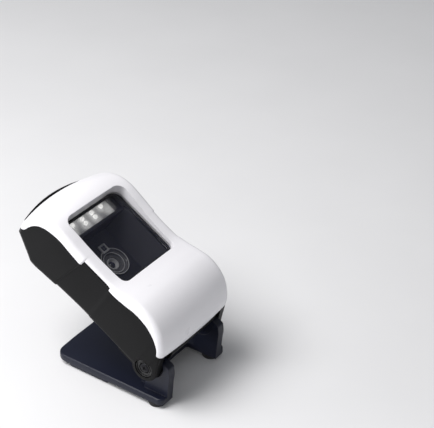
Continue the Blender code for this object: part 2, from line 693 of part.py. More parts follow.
def make_stand():
    stand = prism(STAND, "stand", plate_outline(), PLATE_LOW, PLATE_TOP, "Z", "stand")
    bevel(stand, 0.7)
    recess = prism(STAND, "recess", recess_outline(), 0, PLATE_TOP - PLATE_THICK)
    for i, (x, y) in enumerate(COVER_SCREWS):
        cut(recess, rod(STAND, f"cover_boss_{i}", 3.0, -1, 12, (x, y, 0), steps=16))
    for name, s in (("L", -1), ("R", 1)):
        cut(recess, rod(STAND, f"foot_boss_{name}", FOOT[2], -1, 12, (s * FOOT[0], FOOT[1], 0), steps=24))
    cut(stand, recess)
    for name, s in (("L", -1), ("R", 1)):
        x0, x1 = sorted((s * (EAR[0] + 0.2), s * EAR[1]))
        join(stand, prism(STAND, f"ear_{name}", ear_outline(), x0, x1, "X"))
        x0, x1 = sorted((s * (EAR[0] + 0.05), s * CRADLE_X))
        join(stand, prism(STAND, f"cradle_{name}", cradle_outline(), x0, x1, "X"))
        cut(stand, rod(STAND, f"bush_hole_{name}", BUSH_R + GAP, -6, 6, (s * 30, PIVOT_Y, PIVOT_Z), "X"))
    for i, (x, y) in enumerate(COVER_SCREWS):
        cut(stand, rod(STAND, f"cover_pilot_{i}", 1.5, 0, 7.6, (x, y, 0), steps=12))
    return stand


def make_base_pieces():
    box(STAND, "base_weight", (-25.0, -14.0, 3.9), (25.0, 26.0, 6.4), "steel")
    outline = rounded((
        (-BLOCK_HALF, BLOCK_FRONT, 3.0), (BLOCK_HALF, BLOCK_FRONT, 3.0),
        (BLOCK_HALF, BLOCK_BACK, 6.0), (-BLOCK_HALF, BLOCK_BACK, 6.0),
    ))
    cover = prism(STAND, "base_cover", outline, BLOCK_LOW, PLATE_LOW - GAP, "Z", "stand")
    for i, (x, y) in enumerate(COVER_SCREWS):
        cut(cover, rod(STAND, f"cover_hole_{i}", 1.6, -2, 8, (x, y, 0), steps=12))
        cut(cover, rod(STAND, f"cover_sink_{i}", 2.9, -2, 2.0, (x, y, 0), steps=16))
        profile = ((0, 6.8), (1.1, 6.4), (1.1, 2.1), (2.5, 1.7), (2.5, 0.8), (1.0, 0.8), (0, 1.4))
        turned(STAND, f"cover_screw_{i + 1}", profile, (x, y, 0), finish="dark_steel", steps=12)
    for name, s in (("L", -1), ("R", 1)):
        x0, x1 = sorted((s * 18.0, s * 34.0))
        pad = rectangle(x0, 0.0, x1, 12.0, 3.0)
        pocket = rectangle(x0 - GAP, -GAP, x1 + GAP, 12.0 + GAP, 3.0)
        cut(cover, prism(STAND, f"pad_pocket_{name}", pocket, -2, 1.6))
        prism(STAND, f"rear_pad_{name}", pad, 0.0, 1.3, "Z", "rubber")
        foot = ((0, PLATE_LOW - GAP), (6.6, PLATE_LOW - GAP), (7.0, 2.8), (7.0, 1.0), (6.2, 0.0), (0, 0.0))
        turned(STAND, f"front_foot_{name}", foot, (s * FOOT[0], FOOT[1], 0), finish="rubber", steps=28)


clear_scene()
PARTS = new_collection("barcode_scanner")
CUTTERS = new_collection("cutters")
HEAD = Side("head_pivot", (0, PIVOT_Y, PIVOT_Z), HEAD_LEAN)
STAND = Side("stand_frame", (0, 0, 0), 0)
make_stand()
make_base_pieces()
make_front_shell()
make_rear_body()
make_bottom_panel()
make_window()
make_light_hood()
make_light_panel()
make_camera()
make_electronics()
make_scan_key()
make_case_screws()
make_hinge()
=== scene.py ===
"""Looks of a hands-free desktop barcode scanner, a white and black head that tilts on a flat stand.

Lengths are millimetres until a mesh is made, and metres after that. The head's pieces use the
head's own axes, with the origin on the tilt axis: x across, u up along the face and w out of the
face. The stand's pieces are measured from the floor, with the front facing -Y.
"""

import json
import math

import bmesh
import bpy
from mathutils import Matrix, Vector


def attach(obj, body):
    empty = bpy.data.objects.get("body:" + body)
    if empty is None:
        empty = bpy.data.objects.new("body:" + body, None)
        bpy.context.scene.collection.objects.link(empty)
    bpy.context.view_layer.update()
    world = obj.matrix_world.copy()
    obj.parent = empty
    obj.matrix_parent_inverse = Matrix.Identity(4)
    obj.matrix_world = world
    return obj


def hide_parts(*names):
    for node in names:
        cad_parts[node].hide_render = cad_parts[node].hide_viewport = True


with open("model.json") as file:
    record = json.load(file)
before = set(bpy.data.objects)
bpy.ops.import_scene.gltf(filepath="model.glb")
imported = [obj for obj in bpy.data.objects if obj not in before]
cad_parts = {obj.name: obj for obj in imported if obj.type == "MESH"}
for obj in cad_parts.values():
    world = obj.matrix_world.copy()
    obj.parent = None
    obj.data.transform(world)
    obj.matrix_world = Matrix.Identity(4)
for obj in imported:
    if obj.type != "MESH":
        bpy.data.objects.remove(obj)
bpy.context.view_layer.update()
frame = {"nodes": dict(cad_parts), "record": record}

MM = 0.001
GAP = 0.3
WELD = 0.000002  # metres; closer corners are joined after a Boolean

# The tilt axis, and how far the head leans back from lying flat.
PIVOT_Y = -51.3
PIVOT_Z = 33.8
HEAD_LEAN = 32.0

# Head: half its width, its walls, its rounded edges and how far its faces are crowned.
HALF_WIDTH = 44.0
WALL = 2.2
FRONT_RADIUS = 4.5
REAR_RADIUS = 6.0
CROWN = 1.9
TOP_CROWN = 5.7
TOP_START = 16
SLANT = Vector((0.82, 0.57))
WAIST_DEPTH = 1.0
# The grip's narrowing, in counts of the outline points below: it starts at the first, is full from
# the second to the third, and has faded out at the last.
WAIST = (8.5, 11.0, 12.1, 13)

# The head's side outline (u, w): where each cross-section meets the front and the back.
FRONT = (
    (-4.8, 21.4), (-3.2, 26.6), (0.9, 32.8), (6.4, 38.6), (14.0, 43.0), (21.2, 44.9), (30.0, 44.8),
    (38.2, 42.4), (47.4, 39.0), (56.2, 36.4), (57.8, 36.1), (70.0, 35.6), (84.0, 36.0),
    (85.6, 36.1), (94.0, 36.8), (103.0, 37.8), (113.4, 38.0), (123.0, 35.4), (129.8, 30.9),
    (134.5, 25.3), (138.0, 18.5), (139.8, 12.5),
)
REAR = (
    (-2.0, -7.0), (1.0, -7.0), (4.0, -7.0), (8.5, -7.0), (14.5, -7.0), (21.5, -7.0), (30.0, -7.1),
    (38.5, -7.2), (47.5, -7.4), (56.2, -7.8), (57.8, -7.9), (73.0, -9.2), (91.0, -10.9),
    (92.6, -11.1), (99.0, -12.0), (106.5, -12.9), (114.0, -13.8), (119.5, -13.3), (124.5, -9.8),
    (130.0, -5.9), (135.5, -2.0), (139.8, 1.0),
)
LAST_HOLLOW = 20  # the point where the head's hollow ends, under the top wall

# Line between the white shell and the black body (u, w), in three runs with a step between them.
PARTING = (
    ((-1.2, 21.2), (1.6, 26.2), (6.5, 30.8), (11.5, 33.8), (18.3, 36.3), (25.1, 37.2),
     (31.7, 37.0), (38.9, 35.4), (47.5, 33.8), (56.9, 33.0)),
    ((57.1, 34.6), (70.0, 34.2), (84.4, 34.1)),
    ((84.8, 30.1), (97.0, 30.9), (108.6, 31.8), (118.5, 30.2), (123.1, 28.7), (127.4, 26.0),
     (131.1, 22.0), (133.8, 16.8), (135.8, 10.9), (139.1, 7.2)),
)

# Window: corners of its opening (x, u) with their radii, and the sunk glass.
WINDOW = ((30.9, 52.5, 5.0), (33.4, 118.0, 8.0))
WINDOW_RIM = 1.8
RIM_BOTTOM = 27.8
RIM_TOP = 34.8
GLASS_THICK = 1.5
GLASS_LOW = (53.0, 34.4)
GLASS_HIGH = (118.0, 31.0)

# Hinge, from the middle outwards: body wall, stand ear, washer, knuckle.
BODY_WALL = (25.8, 27.9)
EAR = (28.5, 31.2)
KNUCKLE = (32.6, 43.4)
KNUCKLE_R = 11.0
CHEEK_X = 36.7
SLOT_R = 12.2
SWEEP_R = 24.4
SWEEP_START = 104.0
PIN_R = 2.5
BUSH_R = 4.2
CUP_R = 7.8
CUP_X = 40.4
NUT_ROOM_R = 3.9
NUT_ROOM_X = (21.7, 25.8)
HINGE_BLOCK = ((-3.6, 20.4), (-1.3, -5.6), (24.5, -5.6), (24.5, 20.4))  # (u, w)
HINGE_BLOCK_X = 42.9
CHIN_CORNER = (-4.3, 20.7)

# Stand, from the floor up.
PLATE_TOP = 9.0
PLATE_LOW = 3.6
PLATE_THICK = 2.2
SKIRT = 2.4
PLATE_HALF = 42.0
PLATE_FRONT = -66.9
PLATE_BACK = 37.3
GAP_BACK = -39.1
CRADLE_X = 35.6
CRADLE_R = 12.0
FOOT = (35.2, -57.7, 7.0)  # right foot: x, y, radius
BLOCK_FRONT = -14.7
BLOCK_BACK = 27.3
BLOCK_HALF = 40.8
BLOCK_LOW = 0.5
PAD = (18.0, 0.0, 34.0, 12.0)  # right pad: x, y to x, y
COVER_SCREWS = ((-34.0, -10.0), (34.0, -10.0), (-30.0, 22.5), (30.0, 22.5))

# Panel under the head, the scan key, the cable socket and the screws in the head's back.
PANEL_OUTSIDE = (
    (-4.9, 20.8), (-7.2, 14.4), (-7.2, 12.4), (-5.6, 1.5), (-4.9, -4.6), (-3.2, -6.9), (8.0, -7.0),
)
PANEL_INSIDE = ((8.0, -5.4), (-3.2, -5.3), (-4.0, 1.5), (-5.6, 12.6), (-5.5, 14.1), (-3.3, 20.8))
KEY_W = (7.8, 12.2)
KEY_HALF = 36.0
KEY_ENDS = 142.5
KEY_MIDDLE = 148.0
KEY_BACK = 140.4
KEY_FLOOR = 138.8
KEY_ROOM = 0.45
KEY_SLOT_ROOM = 0.4
SOCKET_HALF = 7.5
CONTACTS = 8
CONTACT_PITCH = 1.02
RECESS_SHARE = 0.1875  # width of a drive recess's arms, as a share of its span
SCREW_PLACES = (
    (-36.0, 48.0, -7.4), (36.0, 48.0, -7.4), (-36.0, 110.0, -13.3), (36.0, 110.0, -13.3),
)

# Camera and light tray.
LENS_U = 76.0
# Height of the thin pale rings on the bezel, which are painted highlights.
HIGHLIGHT_RING_RISE = 0.16
BEZEL_NOTCH = ((-3.8, 9.2, 9.0), (3.8, 17.0, 20.0))  # where the aimer overlaps the camera's rings
CAMERA_HOLE_R = 12.3
TRAY_HOLE = (-24.0, 105.2, 24.0, 117.6)
HOOD_FLOOR = 9.0
HOOD_MOUTH = 27.0
HOOD_WALL = 1.5
HOOD_NARROW = (16.0, 57.0, 102.0)  # at its floor: half width, near u, far u
HOOD_WIDE = (30.0, 54.0, 102.0)  # the same at its mouth
LED_ROWS = ((114.8, (-16.8, -5.6, 5.6, 16.8)), (110.5, (-5.6, 5.6)))
# Painted glow on the light tray: emission round each LED, and at these two places with no LED,
# stands in for light falling on the tray.
PAINTED_END_GLOWS = (110.5, (-21.0, 21.0))
PAINTED_GLOW_R = (0.0020, 0.0080)  # metres: the glow is full inside the first and gone past the second
TRAY_W = 21.4

# The photograph's camera: place in metres, angles in degrees, lens and sensor in millimetres.
CAMERA_PLACE = (-0.63825, -0.51465, 0.64237)
CAMERA_ANGLES = (-56.05, 32.13, 1.07)
CAMERA_LENS = 108.0
CAMERA_SENSOR = 36.0

AT_PIVOT = Matrix.Translation((0, PIVOT_Y * MM, PIVOT_Z * MM))
HEAD = AT_PIVOT @ Matrix.Rotation(math.radians(HEAD_LEAN), 4, "X")
STAND = Matrix.Identity(4)


# ---- curves and outlines ---------------------------------------------------------------------

def on_curve(chain, t):
    """Point of a smooth curve through the chain, at parameter t counted in points."""
    points = [Vector(p) for p in chain]
    i = min(int(t), len(points) - 2)
    f = t - i
    here, there = points[i], points[i + 1]
    span = (there - here).length
    leave = slope_at(points, i) * span
    arrive = slope_at(points, i + 1) * span
    return (
        here * (2 * f**3 - 3 * f**2 + 1) + leave * (f**3 - 2 * f**2 + f)
        + there * (3 * f**2 - 2 * f**3) + arrive * (f**3 - f**2)
    )


def slope_at(points, i):
    """Unit-speed tangent at point i, weighted towards the nearer neighbour."""
    if i == 0:
        return (points[1] - points[0]).normalized()
    if i == len(points) - 1:
        return (points[-1] - points[-2]).normalized()
    back = points[i] - points[i - 1]
    ahead = points[i + 1] - points[i]
    total = back.length + ahead.length
    return (back.normalized() * ahead.length + ahead.normalized() * back.length) / total


def smooth(chain, step=1.0):
    """The chain's smooth curve as points about one step apart."""
    result = []
    for i in range(len(chain) - 1):
        length = (Vector(chain[i + 1]) - Vector(chain[i])).length
        count = max(1, round(length / step))
        result += [tuple(on_curve(chain, i + k / count)) for k in range(count)]
    return result + [tuple(chain[-1])]


def arc(centre, radius, start, end, steps):
    """Points on a circle, from the start angle to the end angle in degrees."""
    angles = [math.radians(start + (end - start) * i / steps) for i in range(steps + 1)]
    return [(centre[0] + radius * math.cos(a), centre[1] + radius * math.sin(a)) for a in angles]


def rounded(corners, steps=10):
    """Outline through corners (x, y, radius), each corner with a radius turned into an arc."""
    points = []
    for i, (x, y, radius) in enumerate(corners):
        if radius == 0:
            points.append((x, y))
            continue
        here = Vector((x, y))
        back = (Vector(corners[i - 1][:2]) - here).normalized()
        ahead = (Vector(corners[(i + 1) % len(corners)][:2]) - here).normalized()
        half = back.angle(ahead) / 2
        centre = here + (back + ahead).normalized() * (radius / math.sin(half))
        reach = radius / math.tan(half)
        first = here + back * reach - centre
        turn = math.degrees(first.angle_signed(here + ahead * reach - centre))
        start = math.degrees(math.atan2(first.y, first.x))
        points += arc(centre, radius, start, start - turn, steps)
    return points


def mirrored(half):
    """A closed outline from its right half, listed from the front to the back."""
    return list(half) + [(-x, y) for x, y in reversed(half) if abs(x) > 1e-9]


def rectangle(x0, y0, x1, y1, radius, steps=6):
    """A rectangle between two corners, with rounded corners."""
    return rounded(((x0, y0, radius), (x1, y0, radius), (x1, y1, radius), (x0, y1, radius)), steps)


def anticlockwise(outline):
    """The outline, turned round if it runs clockwise."""
    area = sum(a[0] * b[1] - b[0] * a[1] for a, b in zip(outline, outline[1:] + outline[:1]))
    return list(outline) if area > 0 else list(outline)[::-1]


def shrunk(outline, distance):
    """An anticlockwise outline moved inwards, each corner along its bisector."""
    result = []
    for i, point in enumerate(outline):
        here = Vector(point)
        back = (here - Vector(outline[i - 1])).normalized()
        ahead = (Vector(outline[(i + 1) % len(outline)]) - here).normalized()
        normal = Vector((-back.y - ahead.y, back.x + ahead.x))
        normal.normalize()
        stretch = max(0.35, normal.dot(Vector((-ahead.y, ahead.x))))
        result.append(tuple(here + normal * (distance / stretch)))
    return result


def window_outline(grow):
    """The window's opening in (x, u), larger all round by that much."""
    (low_x, low_u, low_r), (high_x, high_u, high_r) = WINDOW
    return rounded((
        (low_x + grow, low_u - grow, low_r + grow), (high_x + grow, high_u + grow, high_r + grow),
        (-high_x - grow, high_u + grow, high_r + grow), (-low_x - grow, low_u - grow, low_r + grow),
    ), 14)


# ---- meshes ----------------------------------------------------------------------------------

def finished(bm, name):
    """A mesh in metres from a bmesh in millimetres."""
    bmesh.ops.remove_doubles(bm, verts=bm.verts, dist=1e-5)
    bmesh.ops.scale(bm, vec=(MM, MM, MM), verts=bm.verts)
    bmesh.ops.recalc_face_normals(bm, faces=bm.faces)
    mesh = bpy.data.meshes.new(name)
    bm.to_mesh(mesh)
    bm.free()
    return mesh


def skin(name, rings, strips=False):
    """A skin through rings of equal point counts. With strips, each ring is a front row and a rear
    row of the same length, so that its ends close as strips between the rows."""
    bm = bmesh.new()
    rows = [[bm.verts.new(point) for point in ring] for ring in rings]
    count = len(rows[0])
    for low, high in zip(rows, rows[1:]):
        for i in range(count):
            j = (i + 1) % count
            bm.faces.new((low[i], low[j], high[j], high[i]))
    if strips:
        for ring in (rows[0], rows[-1]):
            for i in range(count // 2 - 1):
                bm.faces.new((ring[i], ring[i + 1], ring[count - 2 - i], ring[count - 1 - i]))
    bmesh.ops.triangulate(bm, faces=bm.faces)
    if not strips:
        bm.faces.new(rows[0])
        bm.faces.new(rows[-1])
    return finished(bm, name)


def slab(name, outline, low, high, top=0.0, bottom=0.0, axis="Z", steps=4):
    """A flat outline made thick, with its top and bottom edges rounded to those radii. Along X the
    outline is drawn in (y, z), along Z in (x, y)."""
    outline = anticlockwise(outline)
    lower = range(steps if bottom else 0)
    levels = [(low + bottom * (1 - math.cos(math.pi / 2 * i / steps)),
               bottom * (1 - math.sin(math.pi / 2 * i / steps))) for i in lower]
    levels.append((low + bottom, 0.0))
    levels.append((high - top, 0.0))
    upper = range(1, steps + 1 if top else 1)
    levels += [(high - top * (1 - math.sin(math.pi / 2 * i / steps)),
                top * (1 - math.cos(math.pi / 2 * i / steps))) for i in upper]
    rings = []
    for height, inset in levels:
        ring = shrunk(outline, inset) if inset else outline
        if axis == "X":
            rings.append([(height, a, b) for a, b in ring])
        else:
            rings.append([(a, b, height) for a, b in ring])
    return skin(name, rings)


def block(name, low, high):
    (x0, y0, z0), (x1, y1, z1) = low, high
    return slab(name, [(x0, y0), (x1, y0), (x1, y1), (x0, y1)], z0, z1)


def moved(mesh, matrix):
    mesh.transform(matrix)
    mesh.update()
    return mesh


def at(mesh, x=0.0, y=0.0, z=0.0):
    return moved(mesh, Matrix.Translation(Vector((x, y, z)) * MM))


def spun(name, profile, steps=64):
    """A closed profile of (radius, height) spun about Z. Points on the axis become one vertex."""
    bm = bmesh.new()
    rows = []
    for radius, height in profile:
        if radius == 0:
            rows.append([bm.verts.new((0, 0, height))] * steps)
        else:
            turns = [2 * math.pi * k / steps for k in range(steps)]
            places = [(radius * math.cos(a), radius * math.sin(a), height) for a in turns]
            rows.append([bm.verts.new(place) for place in places])
    pairs = list(zip(rows, rows[1:]))
    if profile[0][0] > 0:
        pairs.append((rows[-1], rows[0]))
    for upper, lower in pairs:
        for k in range(steps):
            j = (k + 1) % steps
            corners = []
            for vertex in (upper[k], upper[j], lower[j], lower[k]):
                if vertex not in corners:
                    corners.append(vertex)
            if len(corners) > 2:
                bm.faces.new(corners)
    return finished(bm, name)


def along_x(mesh, side):
    """Turns a piece spun about Z so that its top faces outwards along X on that side."""
    return moved(mesh, Matrix.Rotation(math.radians(90 * side), 4, "Y"))


def rod(name, radius, low, high, steps=48):
    return spun(name, ((0, high), (radius, high), (radius, low), (0, low)), steps)


def rod_x(name, radius, x0, x1, steps=64):
    return along_x(rod(name, radius, x0, x1, steps), 1)


def welded(mesh):
    """The mesh without the slivers that a Boolean can leave."""
    bm = bmesh.new()
    bm.from_mesh(mesh)
    bmesh.ops.remove_doubles(bm, verts=bm.verts, dist=WELD)
    bmesh.ops.dissolve_degenerate(bm, edges=bm.edges, dist=WELD)
    bmesh.ops.holes_fill(bm, edges=[edge for edge in bm.edges if edge.is_boundary])
    bm.to_mesh(mesh)
    bm.free()
    return mesh


def shaped(mesh, *operations):
    """The mesh after each (operation, other mesh) Boolean in turn."""
    work = bpy.data.objects.new("work", mesh)
    bpy.context.scene.collection.objects.link(work)
    others = []
    for kind, other in operations:
        tool = bpy.data.objects.new("tool", other)
        bpy.context.scene.collection.objects.link(tool)
        others.append(tool)
        modifier = work.modifiers.new("step", "BOOLEAN")
        modifier.operation = kind
        modifier.solver = "EXACT"
        modifier.object = tool
    graph = bpy.context.evaluated_depsgraph_get()
    result = bpy.data.meshes.new_from_object(work.evaluated_get(graph))
    for item in [work] + others:
        bpy.data.objects.remove(item)
    return welded(result)


def less(mesh, *others):
    return shaped(mesh, *[("DIFFERENCE", other) for other in others])


def plus(mesh, *others):
    return shaped(mesh, *[("UNION", other) for other in others])


def within(mesh, other):
    return shaped(mesh, ("INTERSECT", other))


# ---- materials -------------------------------------------------------------------------------

class Graph:
    """A material's nodes, with the Principled shader already joined to the output."""

    def __init__(self, name):
        self.material = bpy.data.materials.new(name)
        self.material.use_nodes = True
        self.tree = self.material.node_tree
        self.shader = self.tree.nodes["Principled BSDF"]
        self.place = self.add("ShaderNodeTexCoord").outputs["Object"]

    def add(self, kind, inputs=None, **settings):
        node = self.tree.nodes.new(kind)
        for key, value in settings.items():
            setattr(node, key, value)
        for key, value in (inputs or {}).items():
            self.set(node, key, value)
        return node

    def set(self, node, key, value):
        """A socket's value, or what feeds it."""
        if isinstance(value, bpy.types.NodeSocket):
            self.tree.links.new(value, node.inputs[key])
        else:
            node.inputs[key].default_value = value

    def noise(self, scale, detail=3.0, rough=0.5, stretch=None):
        """Noise of that many cycles a metre, stretched along the axes if asked."""
        place = self.place
        if stretch:
            values = {"Vector": place, "Scale": stretch}
            place = self.add("ShaderNodeMapping", values).outputs["Vector"]
        values = {"Vector": place, "Scale": scale, "Detail": detail, "Roughness": rough}
        return self.add("ShaderNodeTexNoise", values).outputs["Fac"]

    def ramp(self, factor, stops):
        """Colours, or greys given as one number, along the factor."""
        node = self.add("ShaderNodeValToRGB", {"Fac": factor})
        elements = node.color_ramp.elements
        while len(elements) < len(stops):
            elements.new(0.5)
        for element, (position, colour) in zip(elements, stops):
            element.position = position
            element.color = (*(colour if isinstance(colour, tuple) else (colour,) * 3), 1)
        return node.outputs["Color"]

    def bump(self, height, strength, distance, edge=0.0):
        """Bump from a height, over edges softened to that radius in metres."""
        values = {"Height": height, "Strength": strength, "Distance": distance}
        if edge:
            soft = self.add("ShaderNodeBevel", {"Radius": edge}, samples=6)
            values["Normal"] = soft.outputs["Normal"]
        return self.add("ShaderNodeBump", values).outputs["Normal"]

    def principled(self, **values):
        for key, value in values.items():
            self.set(self.shader, key.replace("_", " "), value)


def tones(colour, *shares):
    return [tuple(min(1.0, part * share) for part in colour) for share in shares]


def plastic(name, colour, gloss, grain=4200.0, depth=0.00003, edge=0.0005, clouding=0.05, **extra):
    """Moulded plastic: fine spark-eroded grain, faint clouding, and gloss worn by handling."""
    graph = Graph(name)
    drift = graph.noise(38.0, 4.0, 0.6)
    fine = graph.noise(grain, 2.0, 0.55)
    dark, light = tones(colour, 1 - clouding, 1 + clouding)
    terms = {0: fine, 1: 0.85, 2: drift}
    height = graph.add("ShaderNodeMath", terms, operation="MULTIPLY_ADD").outputs[0]
    graph.principled(
        Base_Color=graph.ramp(drift, ((0.3, dark), (0.7, light))),
        Roughness=graph.ramp(drift, ((0.25, gloss * 0.88), (0.75, gloss * 1.14))),
        Normal=graph.bump(height, 0.35, depth, edge),
        **extra,
    )
    return graph.material


def rubber(name, colour):
    """Moulded rubber: coarse matt grain with dust caught in it."""
    graph = Graph(name)
    grain = graph.noise(2600.0, 4.0, 0.7)
    dust = graph.noise(420.0, 5.0, 0.65)
    dark, light = tones(colour, 0.8, 2.2)
    graph.principled(
        Base_Color=graph.ramp(dust, ((0.45, dark), (0.8, light))),
        Roughness=graph.ramp(grain, ((0.2, 0.72), (0.8, 0.95))),
        Normal=graph.bump(grain, 0.5, 0.00006, 0.0004),
    )
    return graph.material


def metal(name, colour, gloss, brushed=(1.0, 1.0, 1.0)):
    """Machined or plated metal with brushing along one axis."""
    graph = Graph(name)
    lines = graph.noise(1500.0, 3.0, 0.6, brushed)
    wear = graph.noise(260.0, 4.0, 0.6)
    dark, light = tones(colour, 0.85, 1.15)
    graph.principled(
        Base_Color=graph.ramp(lines, ((0.3, dark), (0.7, light))),
        Metallic=1.0,
        Roughness=graph.ramp(wear, ((0.3, gloss * 0.8), (0.7, gloss * 1.3))),
        Normal=graph.bump(lines, 0.2, 0.00002, 0.0002),
    )
    return graph.material


def glass_material():
    """Hard-coated pane: see-through, with a mirror gloss, a grey tint and faint wiping marks."""
    graph = Graph("window_glass_coated")
    wiping = graph.noise(55.0, 5.0, 0.7, (1.0, 0.25, 1.0))
    tint = ((0.3, (0.004, 0.005, 0.016)), (0.7, (0.006, 0.007, 0.022)))
    graph.principled(
        Base_Color=graph.ramp(wiping, tint),
        Roughness=graph.ramp(wiping, ((0.3, 0.01), (0.8, 0.03))),
        IOR=1.7,
        Alpha=0.20,
    )
    return graph.material


def painted_glow_tray_material():
    """Pale reflector tray with painted light: a painted glow round each of its lights and at two
    places without one, over a faint painted glow all over it.
    """
    graph = Graph("led_tray_painted_glow")
    grain = graph.noise(900.0, 3.0, 0.6)
    full, gone = PAINTED_GLOW_R
    painted_glow = None
    for u, places in LED_ROWS + (PAINTED_END_GLOWS,):
        for x in places:
            ends = {0: graph.place, 1: HEAD @ (Vector((x, u, TRAY_W)) * MM)}
            away = graph.add("ShaderNodeVectorMath", ends, operation="DISTANCE").outputs["Value"]
            near = graph.add(
                "ShaderNodeMapRange",
                {"Value": away, "From Min": full, "From Max": gone, "To Min": 1.0, "To Max": 0.0},
                interpolation_type="SMOOTHSTEP",
            ).outputs["Result"]
            if painted_glow is None:
                painted_glow = near
            else:
                both = {0: painted_glow, 1: near}
                painted_glow = graph.add("ShaderNodeMath", both, operation="MAXIMUM").outputs[0]
    graph.principled(
        Base_Color=graph.ramp(grain, ((0.3, (0.42, 0.42, 0.43)), (0.7, (0.48, 0.48, 0.49)))),
        Roughness=0.5,
        # Painted glow: emission stands in for the LEDs' light on the tray. It is faint all over and
        # full round each glow place.
        Emission_Color=graph.ramp(painted_glow, ((0.0, (0.22, 0.22, 0.225)), (1.0, (1.0, 1.0, 0.98)))),
        Emission_Strength=0.7,
        Normal=graph.bump(grain, 0.2, 0.00002),
    )
    return graph.material


def led_material():
    """Lit emitter: near white, its glow and colour varied faintly by fine grain."""
    graph = Graph("led_lit")
    grain = graph.noise(1400.0, 2.0)
    graph.principled(
        Base_Color=graph.ramp(grain, ((0.3, (0.86, 0.86, 0.83)), (0.7, (0.92, 0.92, 0.90)))),
        Roughness=0.3,
        Emission_Color=graph.ramp(grain, ((0.3, (1.0, 0.99, 0.96)), (0.7, (1.0, 1.0, 1.0)))),
        Emission_Strength=1.5,
    )
    return graph.material


def cover_material():
    """Thin clear cover over the light tray, with a light frosting."""
    graph = Graph("diffuser_frosted")
    frost = graph.noise(700.0, 3.0, 0.6)
    graph.principled(
        Base_Color=graph.ramp(frost, ((0.3, (0.5, 0.5, 0.51)), (0.7, (0.6, 0.6, 0.61)))),
        Roughness=graph.ramp(frost, ((0.3, 0.18), (0.7, 0.3))),
        Alpha=0.22,
        Normal=graph.bump(frost, 0.1, 0.00002),
    )
    return graph.material


def board_material():
    """Solder mask with faint tracks under it."""
    graph = Graph("circuit_board_mask")
    tracks = graph.add(
        "ShaderNodeTexBrick",
        {
            "Vector": graph.place, "Color1": (0.012, 0.10, 0.045, 1),
            "Color2": (0.016, 0.13, 0.055, 1), "Mortar": (0.03, 0.20, 0.09, 1), "Scale": 240.0,
            "Mortar Size": 0.06,
        },
    )
    grain = graph.noise(1500.0)
    graph.principled(
        Base_Color=tracks.outputs["Color"],
        Roughness=graph.ramp(grain, ((0.3, 0.35), (0.7, 0.5))),
        Normal=graph.bump(tracks.outputs["Fac"], 0.3, 0.00004),
    )
    return graph.material


def lens_material():
    """Coated lens glass: near black, with a blue-violet bloom at glancing angles."""
    graph = Graph("lens_coated")
    bloom = graph.add("ShaderNodeLayerWeight", {"Blend": 0.35}).outputs["Facing"]
    dust = graph.noise(800.0, 4.0, 0.7)
    graph.principled(
        Base_Color=graph.ramp(bloom, ((0.0, (0.010, 0.012, 0.022)), (1.0, (0.05, 0.05, 0.13)))),
        Roughness=graph.ramp(dust, ((0.4, 0.02), (0.8, 0.07))),
        IOR=1.6,
        Coat_Weight=0.6,
    )
    return graph.material


SLOT_MATERIALS = {
    "white_shell": plastic(
        "white_shell_plastic", (0.86, 0.85, 0.88), 0.30, 3000.0, 0.00001, 0.0007, 0.012
    ),
    "black_shell": plastic(
        "black_shell_plastic", (0.007, 0.007, 0.0075), 0.34, 3800.0, 0.00003, 0.0007, 0.10,
        Specular_IOR_Level=0.08,
    ),
    "stand_plastic": plastic(
        "stand_satin_plastic", (0.008, 0.010, 0.022), 0.36, 3800.0, 0.00003, 0.0005, 0.08,
        Specular_IOR_Level=0.3,
    ),
    "rubber": rubber("rubber_matt", (0.012, 0.012, 0.014)),
    "window_glass": glass_material(),
    "hood_black": plastic(
        "hood_matt_plastic", (0.020, 0.020, 0.030), 0.42, 3000.0, 0.000006, 0.0003, 0.08
    ),
    "diffuser": cover_material(),
    "led": led_material(),
    "circuit_board": board_material(),
    "steel": metal("steel_brushed", (0.42, 0.42, 0.44), 0.32, (1.0, 14.0, 1.0)),
    "dark_steel": metal("steel_blackened", (0.022, 0.022, 0.025), 0.30),
    "lens": lens_material(),
    "nylon": plastic("nylon_natural", (0.55, 0.54, 0.50), 0.45, 2500.0, 0.00002, 0.0002, 0.04),
    "film": plastic("film_amber", (0.50, 0.28, 0.07), 0.25, 900.0, 0.00001, 0.0, 0.10),
}
PAINTED_GLOW_TRAY = painted_glow_tray_material()
BEZEL = plastic(
    "camera_bezel_plastic", (0.11, 0.11, 0.12), 0.26, 3000.0, 0.000005, 0.0003, 0.06
)
# Pale grey plastic for the lens mount and the aimer's frame. The same pale grey on the two thin
# bezel rings is a painted highlight.
LENS_RING_AND_HIGHLIGHT = plastic(
    "lens_ring_plastic_and_painted_highlight", (0.50, 0.50, 0.51), 0.30, 3000.0, 0.000005, 0.0002, 0.06
)
PIVOT = plastic(
    "pivot_ring_plastic", (0.005, 0.005, 0.006), 0.28, 3000.0, 0.00001, 0.0003, 0.06
)
CONTACT = metal("contact_gilt", (0.75, 0.55, 0.22), 0.25)


def piece(name, mesh, place, body, slot, nodes=(), material=None, crease=38.0):
    """A shown piece on a body, in its slot's material, standing for those CAD nodes."""
    thing = bpy.data.objects.new(name, moved(mesh, place))
    bpy.context.scene.collection.objects.link(thing)
    mesh.materials.clear()
    mesh.materials.append(material or SLOT_MATERIALS[slot])
    for polygon in mesh.polygons:
        polygon.material_index = 0
        polygon.use_smooth = True
    mesh.set_sharp_from_angle(angle=math.radians(crease))
    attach(thing, body)
    if nodes:
        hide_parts(*nodes)
    return thing


# ---- the head's form -------------------------------------------------------------------------

def inward(chain, t, sense):
    """Unit normal of a side outline at parameter t, pointing into the head."""
    last = len(chain) - 1
    along = on_curve(chain, min(t + 0.02, last)) - on_curve(chain, max(t - 0.02, 0.0))
    along.normalize()
    return Vector((along.y, -along.x)) * sense


def ease(t):
    """Smooth step from 0 to 1."""
    t = min(1.0, max(0.0, t))
    return t * t * (3 - 2 * t)


